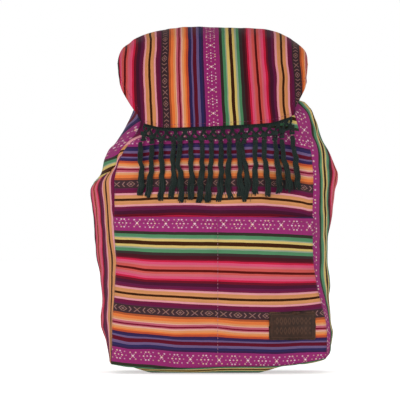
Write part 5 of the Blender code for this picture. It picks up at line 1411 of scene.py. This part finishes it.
def flap_across(grid):
    """The place in the stripes over the flap."""
    px, py = column_of(grid[..., 0]), row_of(grid[..., 2])
    front = smooth(0.40, 0.60, np.linspace(0, 1, len(grid)))[:, None]
    share = np.clip((py - 33) / 90, 0.0, 1.0) * front
    drift = (share - 0.47) * (1.5 + (px - 150) / 132 * 4.5)
    drift = drift - 1.4 * np.sin(math.pi * np.clip(share * 1.25, 0, 1)) * (1 - smooth(150, 230, px))
    drift = drift + table_at(px, py, FLAP_PX, FLAP_PY, FLAP) * front
    past = np.zeros(px.shape)
    for r, line in enumerate(grid):
        run = lengths_of(line)
        wide = np.abs(line[:, 0])
        middle = int(np.argmin(wide))
        for span in (slice(middle, None), slice(middle, None, -1)):
            side = np.sign(line[span, 0][-1])
            fold = FLAP_FOLDS[0 if side > 0 else 1]
            from_middle = np.abs(run[span] - run[middle])
            over = from_middle - float(np.interp(fold, wide[span], from_middle))
            past[r, span] = side * np.maximum(np.maximum(over, 0) - np.maximum(wide[span] - fold, 0), 0)
    return listed(FLAP_MARKS, px - drift) * PIXEL + 0.85 * past


def flap_pieces(body, cloth, cotton, thread):
    calm_grid = flap_surface(body)
    normals = normals_of(calm_grid)
    broad = Field(61, 0.05, 0.11)
    small = Field(63, 0.014, 0.03)
    pull = Field(65, 0.010, 0.018, squash=(0.3, 0.3, 1))
    edge, parts = border_distance(calm_grid)
    sides, hem = np.minimum(parts["l"], parts["r"]), parts["t"]
    calm = smooth(0.0, 0.012, edge)
    lift = 0.0010 * broad(calm_grid) * calm + 0.00035 * small(calm_grid) * calm
    lift += 0.0005 * pull(calm_grid) * np.exp(-sides / 0.012) * smooth(0, 0.002, sides)
    lift = np.maximum(lift, -0.0006)
    lift += 0.0004 * (1 - smooth(0.0048, 0.0058, hem)) - 0.0004 * bell(hem - 0.0052, 0.0007)
    grid = raised(calm_grid, lift - 0.0007 * bell(edge, 0.0007))
    along = 1.213 * hem - 1.25 * PIXEL
    made = sheet_piece("flap_cloth", grid, along, flap_across(grid), cloth, FLAP_CLOTH, replaces=["flap"])

    inset = 2 * SEAM_GAP
    under = calm_grid - normals * (CLOTH + SEAM_GAP)
    under = under - normals * (0.00015 * (1 + Field(67, 0.03, 0.06)(under)))[..., None]
    for axis in (0, 1):
        under = np.moveaxis(under, axis, 0)
        for end, near in ((0, 1), (-1, -2)):
            under[end] += unit(under[near] - under[end]) * inset
        under = np.moveaxis(under, 0, axis)
    sheet_piece(
        "flap_lining_cotton_cloth", under, parts["l"], parts["b"], cotton, LINING,
        slot="lining_cotton", replaces=["flap_lining"],
    )
    lines = {"hem": (line_below(grid, hem, FLAP_HEM)[3:-3], normals[-4, 3:-3])}
    for side, column in (("left", grid.shape[1] - 5), ("right", 4)):
        lines[side] = (grid[12:-4, column], normals[12:-4, column])
    for word, (line, outward) in lines.items():
        stitches(f"flap_{word}_thread", line, outward, thread, length=0.003, radius=0.00024)
    return under - normals * LINING


# The fringe


class Hang:
    """Where the fringe hangs: its line under the flap's edge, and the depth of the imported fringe."""

    def __init__(self, under, cloth):
        edge = under[-1][np.argsort(under[-1][:, 0])]
        self.line = even(edge, 401)
        self.places = lengths_of(self.line)
        self.length = (TASSEL_COUNT - 1) * TASSEL_PITCH + 2 * NET_CORD
        self.inset = (self.places[-1] - self.length) / 2
        self.band = tree_of_nodes("fringe_header", "fringe_net")
        self.cloth = cloth
        self.known = {}

    def place(self, u, v, out=0.0):
        """u along the fringe, v below the flap's edge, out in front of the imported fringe's middle."""
        key = (round(u, 5), round(v, 5))
        if key not in self.known:
            x, edge_z = (float(np.interp(self.inset + u, self.places, self.line[:, k])) for k in (0, 2))
            z = edge_z - v
            near, _, _, _ = self.band.find_nearest(Vector((x, front_y(self.cloth, x, z) - 0.002, z)))
            hit = front_y(self.band, x, z)
            y = hit + 0.0008 if hit < 0 else near.y
            self.known[key] = (x, y, z)
        x, y, z = self.known[key]
        return np.array([x, y - out, z])


# Where the tassels' middles are in the photograph, from top to tip, and the rows of their tips, in pixels
TASSEL_SHARES = (0.0, 0.3, 0.5, 0.7, 0.85, 1.0)
TASSELS = (
    (193, 140.7, 140.8, 141.9, 141.7, 141, 140.2),
    (198, 152.1, 151.8, 151.3, 150.3, 149.2, 148.6),
    (200, 161.2, 161.9, 162.4, 162.3, 161.7, 160.6),
    (199, 174.2, 172.8, 174.3, 173.7, 172.1, 171),
    (203, 180.2, 178.2, 180.9, 181.5, 181.5, 180.8),
    (200, 190.8, 191.1, 191.7, 191.6, 190.9, 190),
    (203, 202.3, 202.3, 201.7, 200.6, 199.8, 198.6),
    (203, 211.6, 210.9, 209.9, 208.8, 207.9, 206.8),
    (202, 221, 221, 220.9, 220.3, 219.5, 218.5),
    (200, 229.2, 228.8, 228, 227.9, 229, 230.4),
    (198, 237.4, 239.8, 239.6, 239.9, 240.4, 238.6),
    (202, 241, 243.6, 246.6, 247.2, 245.6, 244.2),
    (196, 255, 254.8, 255, 255, 255.2, 255.7),
    (197, 263.8, 264.2, 266, 267.2, 267.4, 268.2),
    (194, 274.6, 276.2, 277.6, 279, 278.8, 278),
    (198, 281.4, 282.9, 285.4, 287.8, 288, 287.7),
    (190, 292, 294, 295.8, 297, 298, 299.2),
)
STRAY = (3, 4, 5, 7, 9, 10, 11, 14, 15)


def photo_x(px):
    return (px - MIDDLE_PX) * PIXEL


def middle_line(node):
    """The middle of a hank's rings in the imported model, from top to tip."""
    points = np.array([v.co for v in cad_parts[node].data.vertices])
    levels = np.unique(np.round(points[:, 2], 5))[::-1]
    rings = [points[np.abs(points[:, 2] - z) < 2e-5] for z in levels]
    rings = [r for r in rings if len(r) > 3]
    return np.array([(r.min(axis=0) + r.max(axis=0)) / 2 for r in rings])


def tassel_path(index):
    """A tassel's middle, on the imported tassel's depth, with its sway from the photograph."""
    line = middle_line(f"tassel_{index + 1:02d}")
    tip_row, *columns = TASSELS[index]
    top_z = line[0, 2]
    tip_z = (FOOT_PX - tip_row - 1.5) * PIXEL
    stretch = np.clip((top_z - tip_z) / (top_z - line[-1, 2]), 0.93, 1.07)
    line[:, 2] = top_z + (line[:, 2] - top_z) * stretch
    path = smooth_line(line, 36)
    share = (path[0, 2] - path[:, 2]) / (path[0, 2] - path[-1, 2])
    shown = through([(s, photo_x(c)) for s, c in zip(TASSEL_SHARES, columns)], share)
    path[:, 0] += np.clip(shown - path[:, 0], -0.0062, 0.0062)
    made = np.random.default_rng(100 + index)
    for length, size in ((0.34, 0.0006), (0.17, 0.0004)):
        sway = size * np.sin(math.tau * share / length + made.uniform(0, 6.3))
        path[:, 0] += sway * smooth(0.04, 0.2, share)
    return path, share


# A hank's half width, its half depth and the radius of its core, by shares of its length
HANK_WIDTH = (
    (0, 0.0016), (0.08, 0.0021), (0.3, 0.0021), (0.55, 0.0024), (0.8, 0.0028), (0.95, 0.0031), (1, 0.0025),
)
HANK_DEPTH = ((0, 0.0010), (0.05, 0.0012), (0.14, 0.0013), (0.8, 0.0014), (1, 0.0012))
HANK_CORE = ((0, 0.0012), (0.1, 0.0016), (0.9, 0.0019), (1, 0.0006))
HANK_STRANDS = 9


def tassels(yarn):
    made = np.random.default_rng(7)
    for index in range(TASSEL_COUNT):
        path, share = tassel_path(index)
        lumps = 1 + 0.12 * np.sin(share * made.uniform(9, 15) + made.uniform(0, 6))
        width = lumps * listed(HANK_WIDTH, share)
        depth = listed(HANK_DEPTH, share)
        tubes = Tubes()
        inner = slice(int(len(path) * 0.94))
        tubes.add(path[inner], listed(HANK_CORE, share)[inner], 7, flat=0.6)
        for k in range(HANK_STRANDS):
            reach = float(k < HANK_STRANDS - 1)
            angle = reach * math.tau * k / (HANK_STRANDS - 1)
            twist = 0.9 * math.pi * share + made.uniform(-0.3, 0.3)
            drift = made.normal(0, 0.0006) * share**2
            end = 1 - abs(made.normal(0, 0.035))
            keep = share <= end
            strand = path.copy()
            strand[:, 0] += reach * width * np.cos(angle + twist) + drift
            strand[:, 1] += reach * depth * np.sin(angle + twist)
            taper = [(0, 0.72), (0.08, 1.0), (0.93, 1.1), (1.0, 0.6)]
            tubes.rope(strand[keep], *HANK_YARN, made.uniform(0, 6.3), taper=taper)
        if index in STRAY:
            for side in (-1, 1):
                strand = path.copy()
                away = made.uniform(0.0028, 0.0052) * np.clip((share - 0.35) / 0.5, 0, 1) ** 1.4
                strand[:, 0] += side * (width * 0.8 + away)
                strand[:, 1] += 0.0004
                keep = (share > 0.3) & (share < made.uniform(0.84, 1.0))
                tubes.rope(strand[keep], *STRAY_YARN, side, 0.0012, [(0, 1), (1, 0.5)])
        tubes.piece(f"hank_{index + 1:02d}", yarn, slot="yarn", replaces=[f"tassel_{index + 1:02d}"])


def wrap(tubes, middle, half, depth, radius, turns, pitch, lean=0.0):
    """Turns of yarn round a knot."""
    for k in range(turns):
        turn = np.linspace(0, math.tau, 15)
        z = middle[2] + pitch * ((turns - 1) / 2 - k) + lean * np.cos(turn)
        loop = points_of(middle[0] + half * np.cos(turn), middle[1] + depth * np.sin(turn), z)
        tubes.add(loop, radius, 7)


# Where a swag of yarn sags between two knots: shares of the way and of its droop
SWAG = ((0.28, 0.2), (0.5, 1.0), (0.72, 0.2))


def fringe(hang, yarn):
    steps = np.linspace(0, hang.length, 130)
    header = Tubes()
    for v in (-0.0030, -0.0008, 0.0014, 0.0035):
        header.rope([hang.place(u, v) for u in steps], *HEADER_YARN, v * 900, 0.0012)
    for k, u in enumerate(np.arange(0.0012, hang.length - 0.001, 0.0026)):
        sway = 0.0004 * math.sin(3.7 * k)
        points = [
            hang.place(u + sway * (1 - 2 * t), 0.0002 + 0.0044 * t, 0.0010 * math.sin(math.pi * t) + 0.0002)
            for t in np.linspace(0, 1, 7)
        ]
        header.add(points, 0.0010 + 0.0001 * math.sin(2.1 * k), 6)
    header.piece("header_braid", yarn, slot="yarn", replaces=["fringe_header"])

    net = Tubes()
    made = np.random.default_rng(12)
    top = 0.0044
    low = HEADER_BELOW + SEAM_GAP + NET_HEIGHT
    knot_v = HEADER_BELOW + 0.52 * NET_HEIGHT
    centres = []
    for k in range(TASSEL_COUNT):
        u = NET_CORD + k * TASSEL_PITCH
        path, _ = tassel_path(k)
        place = hang.place(u, low)
        shift = float(np.clip(path[1, 0] - place[0], -0.0035, 0.0035))
        centres.append((u + 0.6 * shift, u + shift))
    half = TASSEL_PITCH / 2
    for k, (knot_u, tassel_u) in enumerate(centres):
        for side in (-1, 1):
            start = NET_CORD + k * TASSEL_PITCH + side * (half - 0.0012)
            start = np.clip(start, 0.0004, hang.length - 0.0004)
            jitter = made.normal(0, 0.0004, 4)
            spots = [
                (start, top),
                (start + side * 0.0003 + jitter[0], top + 0.0032),
                (start - side * 0.0016 + jitter[1], top + 0.0056),
                (knot_u + side * 0.0008, knot_v - 0.0006),
                (knot_u + side * 0.0012, knot_v + 0.0012),
                (tassel_u + side * (0.0016 + jitter[2]), low - 0.0034),
                (tassel_u + side * 0.0010, low + 0.0004),
            ]
            for beside in (-0.00075, 0.00075):
                points = [hang.place(a + beside, min(b, low), 0.0003 * side) for a, b in spots]
                taper = [(0, 1.0), (0.35, 1.0), (0.55, 0.9), (1, 0.7)]
                net.rope(smooth_line(points, 40), *NET_YARN, made.uniform(0, 6), taper=taper)
        knot, neck = hang.place(knot_u, knot_v, 0.0003), hang.place(tassel_u, low - 0.0002, 0.0001)
        wrap(net, knot, *KNOT_WRAP, made.normal(0, 0.0004))
        wrap(net, neck, *NECK_WRAP, 0.0003)
        if k + 1 < TASSEL_COUNT:
            after = centres[k + 1][0]
            droop = made.uniform(0.0004, 0.0016)
            spots = [
                (knot_u + 0.0010, knot_v - 0.0008),
                *((knot_u + a * (after - knot_u), knot_v + b * droop) for a, b in SWAG),
                (after - 0.0010, knot_v - 0.0008),
            ]
            for below in (-0.0006, 0.0007):
                points = [hang.place(a, b + below, 0.0002) for a, b in spots]
                net.rope(smooth_line(points, 30), *SWAG_YARN, made.uniform(0, 6))
    net.piece("net_yarns", yarn, slot="yarn", replaces=["fringe_net"])


# Straps, webbing and the grab loop


def swept(name, path, widths, depths, material, power=(0.12, 0.5), around=40, along=60, quilt=None, **rest):
    """A flat or padded band along a path, with its width along X and its edges rounded."""
    marks = lengths_of(path)
    at = np.linspace(0, marks[-1], along)
    fine = curve_at(path, marks, at)
    widths, depths = (np.interp(at, marks, np.broadcast_to(size, len(marks))) for size in (widths, depths))
    tangents = np.gradient(fine, axis=0)
    tangents[:, 0] = 0
    out = np.cross(RIGHTWARD, unit(tangents))
    turns = math.tau * np.arange(around + 1) / around
    cu, cv = signed_power(np.cos(turns), power[0]), signed_power(np.sin(turns), power[1])
    v = cu[None] * widths[:, None] / 2
    thick = cv[None] * depths[:, None] / 2
    if quilt is not None:
        thick = thick + quilt(at[:, None] * np.ones_like(cu), v, cv)
    grid = fine[:, None] + RIGHTWARD * v[..., None] + out[:, None] * thick[..., None]
    rows, columns = grid.shape[:2]
    points = np.concatenate([grid.reshape(-1, 3), [fine[0], fine[-1]]])
    faces = quads(rows, columns)
    faces += [(c + 1, c, rows * columns) for c in range(columns - 1)]
    last = (rows - 1) * columns
    faces += [(last + c, last + c + 1, rows * columns + 1) for c in range(columns - 1)]
    uvs = np.concatenate([points_of(at[:, None], v).reshape(-1, 2), [(at[0], 0.0), (at[-1], 0.0)]])
    return piece_of(name, points, faces, uvs, material, **rest), grid


def strap_path(side, body):
    half = STRAP_THICKNESS / 2
    top_z = GATHER_Z + STRAP_TOP_RISE
    end_z = top_z - STRAP_DROP
    spots = [side * STRAP_TOP_X + STRAP_WIDTH * s for s in (-0.5, -0.25, 0, 0.25, 0.5)]
    top_y, foot_y = (back_y(body, *((x, top_z - d * STRAP_DROP) for x in spots)) for d in (0, 0.2))
    low_y = back_y(body, (side * STRAP_END_X, end_z))
    spread = STRAP_END_X - STRAP_TOP_X
    middle_stand = 0.5 * (STRAP_STAND + STRAP_END_STAND)
    stations = [
        (STRAP_TOP_X, top_y + STRAP_END_SHARE * half + EASE, top_z),
        (STRAP_TOP_X + 0.02 * spread, foot_y + half + 4 * EASE, top_z - 0.17 * STRAP_DROP),
        (STRAP_TOP_X + 0.10 * spread, foot_y + 0.55 * STRAP_STAND, top_z - 0.32 * STRAP_DROP),
        (STRAP_TOP_X + 0.35 * spread, foot_y + STRAP_STAND, top_z - 0.56 * STRAP_DROP),
        (STRAP_TOP_X + 0.75 * spread, low_y + middle_stand, top_z - 0.80 * STRAP_DROP),
        (STRAP_END_X, low_y + STRAP_END_STAND, end_z),
    ]
    line = smooth_line([(side * x, y, z) for x, y, z in stations], 13)
    line[-1, 1] = line[-2, 1] = (line[-1, 1] + line[-2, 1]) / 2
    return line


def quilted(s, u, v):
    """How far a strap's face rises: two stitched grooves and soft waves between them."""
    from_groove = np.abs(np.abs(u) - GROOVE)
    soft = 0.0005 * np.sin(s / 0.011 + 3 * u / STRAP_WIDTH) * (1 - bell(from_groove, 0.004))
    return (soft - 0.0009 * bell(from_groove, 0.0011)) * np.clip(v * 2, -1, 1)


def half_turn(x, y, z, radius, steps, way):
    """Points round the lower half of a bar along X (way 1) or round its upper half (way -1)."""
    angles = [math.pi * k / steps for k in range(steps + 1)]
    return [np.array((x, y + way * radius * math.cos(a), z - way * radius * math.sin(a))) for a in angles]


def pad_piece(word, line, cloth, webbing):
    shares = np.linspace(0, 1, len(line))
    widths = STRAP_WIDTH * (1 - 0.30 * smooth(0.70, 1.0, shares)) - 0.002
    depths = STRAP_THICKNESS * (STRAP_END_SHARE + (1 - STRAP_END_SHARE) * smooth(0.0, 0.22, shares))
    depths = depths * (1 - 0.25 * smooth(0.9, 1, shares))
    pad, grid = swept(
        f"strap_pad_{word}", line, widths, depths, cloth, power=(0.55, 0.75), around=72,
        along=max(8, int(lengths_of(line)[-1] / 0.0022)), quilt=quilted, replaces=[f"shoulder_strap_{word}"],
    )
    layer = pad.data.uv_layers["cloth"].data
    values = np.zeros(len(layer) * 2, np.float32)
    layer.foreach_get("uv", values)
    values[1::2] += (stripe_at("blush", 1) + 1.0) * PIXEL
    layer.foreach_set("uv", values)
    tubes = Tubes()
    for edge, k in ((-1, 36), (1, 0)):
        tubes.add(grid[:, k] - np.array([edge * 0.0006, 0, 0]), 0.0014, 10, flat=0.8)
    tubes.piece(f"strap_binding_{word}", webbing, slot="webbing")


def straps(body, cloth, webbing, thread):
    width = WEBBING_WIDTH - WEBBING_PLAY
    radius = math.sqrt(2) * BAR_HALF + BAR_EASE + WEBBING / 2
    for side, word in ((-1, "left"), (1, "right")):
        line = strap_path(side, body)
        pad_piece(word, line, cloth, webbing)
        x, y, top = line[-1] - (0, 0, SEAM_GAP)
        bar_z = top - TAB_LEG
        path = [(x, y + radius, top), *half_turn(x, y, bar_z, radius, 12, 1), (x, y - radius, top)]
        swept(
            f"tab_webbing_{word}", path, width, WEBBING, webbing,
            slot="webbing", replaces=[f"strap_tab_{word}"],
        )

        foot_z = BASE_SEAM_Z + CORNER_RISE + ANCHOR_RISE
        foot_x = side * (ANCHOR_X + ANCHOR_TOE)
        spots = [(foot_x + s * ANCHOR_WIDTH, foot_z + dz) for s in (-0.5, 0, 0.5) for dz in (0, 0.01)]
        foot_y = back_y(body, *spots)
        foot = np.array((foot_x, foot_y + ANCHOR_THICKNESS / 2 + EASE, foot_z))
        tip = np.array((side * ANCHOR_X, foot[1] + 0.35 * ANCHOR_LENGTH, foot_z + 0.93 * ANCHOR_LENGTH))
        centre = (foot + tip) / 2
        anchor_widths = [ANCHOR_WIDTH, (ANCHOR_WIDTH + WEBBING_WIDTH) / 2, WEBBING_WIDTH + 0.002]
        swept(
            f"anchor_tab_{word}", [foot, centre, tip], anchor_widths, ANCHOR_THICKNESS, cloth,
            power=(0.2, 0.6), along=24, replaces=[f"strap_anchor_{word}"],
        )

        heading = unit(tip - centre)
        grip_z = bar_z - BAR_PITCH
        start = tip + heading * SEAM_GAP
        back = [start, start + heading * 0.012]
        back += [(x, y - radius - BAR_EASE, grip_z - 0.020), (x, y - radius, grip_z - 0.004)]
        path = [*smooth_line(back, 9), *half_turn(x, y, grip_z, radius, 8, -1)]
        last = path[-1]
        front = [last - (0, 0, 0.004), last - (0, -0.001, 0.025), (x, last[1] + 0.003, TAIL_END_Z)]
        path += [*smooth_line(front, 6)]
        swept(
            f"webbing_{word}", path, width, 0.8 * WEBBING, webbing,
            along=150, slot="webbing", replaces=[f"strap_webbing_{word}"],
        )
        hem = [path[-1] + (dx, 0.0009, 0.009) for dx in (-0.011, 0.011)]
        stitches(
            f"webbing_hem_thread_{word}", hem, [-FORWARD] * 2, thread,
            length=0.002, gap=0.0008, radius=0.0003, slot="webbing",
        )


def grab_piece(body, webbing, thread):
    foot_z = GATHER_Z + STRAP_TOP_RISE - GRAB_LEG
    spots = [(s * GRAB_WIDTH, foot_z + t * GRAB_LEG) for s in (-0.5, 0, 0.5) for t in (0, 0.5, 1)]
    foot_y = back_y(body, *spots)
    inner = foot_y + WEBBING / 2 + EASE
    outer = inner + WEBBING + SEAM_GAP
    clear = foot_y + CLOTH + LINING + 3 * EASE + WEBBING
    top = foot_z + GRAB_LENGTH
    bend = top - GRAB_OPEN / 2
    points = [
        (0, inner, foot_z),
        (0, inner, foot_z + 0.9 * GRAB_LEG),
        (0, clear + 0.1 * GRAB_OPEN, foot_z + 0.45 * GRAB_LENGTH),
        (0, clear + 0.3 * GRAB_OPEN, bend - 0.2 * GRAB_LENGTH),
        (0, clear + 0.45 * GRAB_OPEN, bend),
        (0, clear + 0.75 * GRAB_OPEN, top),
        (0, clear + 1.15 * GRAB_OPEN, bend),
        (0, clear + 1.2 * GRAB_OPEN, bend - 0.2 * GRAB_LENGTH),
        (0, outer + 0.9 * GRAB_OPEN, foot_z + 0.45 * GRAB_LENGTH),
        (0, outer, foot_z + 0.9 * GRAB_LEG),
        (0, outer, foot_z),
    ]
    swept(
        "grab_webbing", smooth_line(points, 40), GRAB_WIDTH - WEBBING_PLAY, WEBBING, webbing,
        along=130, slot="webbing", replaces=["grab_loop"],
    )
    y = outer + WEBBING / 2 + 0.0001
    half = GRAB_WIDTH / 2 - 0.003
    low, high = foot_z + 0.0025, foot_z + GRAB_LEG - 0.003
    corners = [(-half, y, low), (half, y, low), (half, y, high), (-half, y, high)]
    for word, line in (("box", [*corners, corners[0]]), ("cross", [corners[0], corners[2]])):
        stitches(
            f"grab_{word}_thread", line, [-FORWARD] * len(line), thread,
            length=0.0022, gap=0.0008, radius=0.0003, slot="webbing",
        )


# The drawstring


def drawstring_piece(body, cord):
    top_z = CORD_Z - CORD_RUN_DOWN
    low_z = top_z - CORD_RADIUS - CORD_RUN * math.cos(CORD_RUN_TILT)
    stand = LOCK_DEPTH / 2 + EASE
    top_y = front_y(body, 0, PANEL_TOP_Z) - stand - CORD_RADIUS
    reach = LOCK_LENGTH / 3
    low_y = min(front_y(body, dx, low_z) for dx in (-reach, 0, reach)) - stand
    tilt = math.atan2(top_y - low_y, top_z - low_z)
    top = Vector((0, top_y, top_z))
    down = Vector((0, -math.sin(tilt), -math.cos(tilt)))
    ring_x = THROAT_HALF_X + CORD_RADIUS + 2 * SEAM_GAP
    ring_y = THROAT_HALF_Y + CORD_RADIUS + 2 * SEAM_GAP
    left = [
        top + down * (CORD_RUN - CORD_END_HEIGHT) * share - Vector((CORD_SPREAD, 0, 0))
        for share in (1.0, 0.8, 0.6, 0.4, 0.2, 0.0)
    ]
    ring = [
        Vector((ring_x * math.cos(a), THROAT_Y + ring_y * math.sin(a), CORD_Z))
        for a in (math.radians(-90 - 16 - d) for d in range(0, 329, 8))
    ]
    right = [Vector((-p.x, p.y, p.z)) for p in reversed(left)]
    line = smooth_line([tuple(p) for p in [*left, *ring, *right]], 300)
    tubes = Tubes()
    along = lengths_of(line)
    for direction in (1, -1):
        arm = BRAID_ARM * (1 + 0.05 * direction * np.sin(math.tau * along / (BRAID_TURN / 4)))
        for k in range(4):
            angle = direction * (math.tau * along / BRAID_TURN) + math.tau * k / 4
            tubes.add(wound(line, angle, arm), BRAID_STRAND, 6)
    tubes.add(line, BRAID_CORE, 8)
    tubes.piece("drawstring_braid", cord, slot="cord", replaces=["drawstring"])


# Stage, light and camera


def stage_and_camera():
    s = Shading("pale_stage", roughness=1.0, specular=0.0)
    seen = 0.0
    for kind in ("Camera", "Glossy", "Transmission"):
        seen = s.math("MAXIMUM", s.node("ShaderNodeLightPath", {}, f"Is {kind} Ray"), seen)
    s.put(s.shader, {"Base Color": (0.93, 0.93, 0.93), "Emission Color": (1, 1, 1)})
    s.put(s.shader, {"Emission Strength": seen * FLOOR_GLOW})
    corners = [(FLOOR_REACH * x, FLOOR_REACH * y, FLOOR_Z) for x, y in ((-1, -1), (1, -1), (1, 1), (-1, 1))]
    floor = mesh_of("stage_floor", corners, [(0, 1, 2, 3)], s.material)

    world = bpy.data.worlds.new("studio")
    bpy.context.scene.world = world
    world.use_nodes = True
    w = Nodes(world.node_tree)
    shown = w.node("ShaderNodeLightPath", {}, "Is Camera Ray")
    strength = w.ranged(shown, 0.0, 1.0, WORLD_LIGHT, 1.0, "LINEAR")
    w.put(world.node_tree.nodes["Background"], {"Color": (1, 1, 1), "Strength": strength})

    for name, place, size, power in (
        ("key", (-1.0, -1.7, 0.3), (1.2, 0.5), 13.0),
        ("fill", (1.4, -1.4, 0.3), (1.4, 0.5), 8.0),
        ("top", (0.0, 0.7, 1.7), (1.2, 1.2), 3.0),
    ):
        data = bpy.data.lights.new(name, "AREA")
        data.shape = "RECTANGLE"
        data.size, data.size_y = size
        data.energy = power
        lamp = object_of(name, data)
        lamp.location = place
        lamp.rotation_euler = (Vector((0, 0, 0.2)) - Vector(place)).to_track_quat("-Z", "Y").to_euler()

    # The camera looks straight at the front, and its frame is as wide as the photograph
    data = bpy.data.cameras.new("camera")
    camera = object_of("camera", data)
    data.sensor_width = 36.0
    data.lens = data.sensor_width * CAMERA_AWAY / (2 * PHOTO_MIDDLE * PIXEL)
    camera.location = (
        (PHOTO_MIDDLE - MIDDLE_PX) * PIXEL,
        CAMERA_FOCUS_Y - CAMERA_AWAY,
        (FOOT_PX - PHOTO_MIDDLE) * PIXEL,
    )
    camera.rotation_euler = (math.pi / 2, 0, 0)
    data.clip_start, data.clip_end = 0.1, 20.0
    bpy.context.scene.camera = camera
    bpy.context.scene.view_settings.view_transform = "Standard"


def dress_rigid():
    brass = metal_material("antique_brass", (168, 140, 92), (84, 66, 44), 0.32)
    steel = metal_material("spring_steel", (190, 190, 192), (140, 140, 144), 0.22)
    buckles = ("ladder_lock_left", "ladder_lock_right")
    for material, names in (
        (plastic_material(), ("cord_lock_body", "cord_lock_button", "cord_end", *buckles)),
        (brass, ("snap_socket", "snap_stud")),
        (steel, ("cord_lock_spring",)),
    ):
        for name in names:
            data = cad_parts[name].data
            data.materials.clear()
            data.materials.append(material)
    for name in buckles:
        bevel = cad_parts[name].modifiers.new("rounded", "BEVEL")
        bevel.width = 0.0006
        bevel.segments = 3
        bevel.limit_method = "ANGLE"
        bevel.angle_limit = math.radians(30)


def main():
    stage_and_camera()
    cloth = cloth_material("woven_cloth", 1.0, 1.03)
    cotton = cotton_material()
    yarn = yarn_material("fringe_yarn", (15, 22, 20), (49, 63, 58))
    cord = yarn_material("braided_cord", (18, 18, 18), (52, 52, 52), 0.0009, 0.15)
    thread = thread_material("plum_thread", (126, 40, 84))
    pale = thread_material("pale_thread", (182, 128, 146))
    brown_thread = thread_material("brown_thread", (66, 48, 36))
    black_thread = thread_material("black_thread", (46, 46, 50))
    webbing = webbing_material()

    body = tree_of_nodes("front_panel", "back_panel", "side_panel_left", "side_panel_right", "mouth_collar")
    body_pieces(cloth)
    bottom_piece(cloth)
    ruffle_piece(cloth, thread)
    casing_piece(cloth)
    lining_piece(cotton)
    patch_pieces(pocket_pieces(cloth, thread, pale), leather_material(), brown_thread)
    # The flap's cloth is the same cloth as the body's, drawn darker (level 0.94) with deeper dark parts
    # (depth 1.14): painted shade
    under = flap_pieces(body, cloth_material("flap_cloth", 0.94, 1.14), cotton, thread)
    fringe(Hang(under, tree_of_nodes("front_panel", "front_pocket")), yarn)
    tassels(yarn)
    straps(body, cloth, webbing, black_thread)
    grab_piece(body, webbing, black_thread)
    drawstring_piece(body, cord)
    dress_rigid()


main()
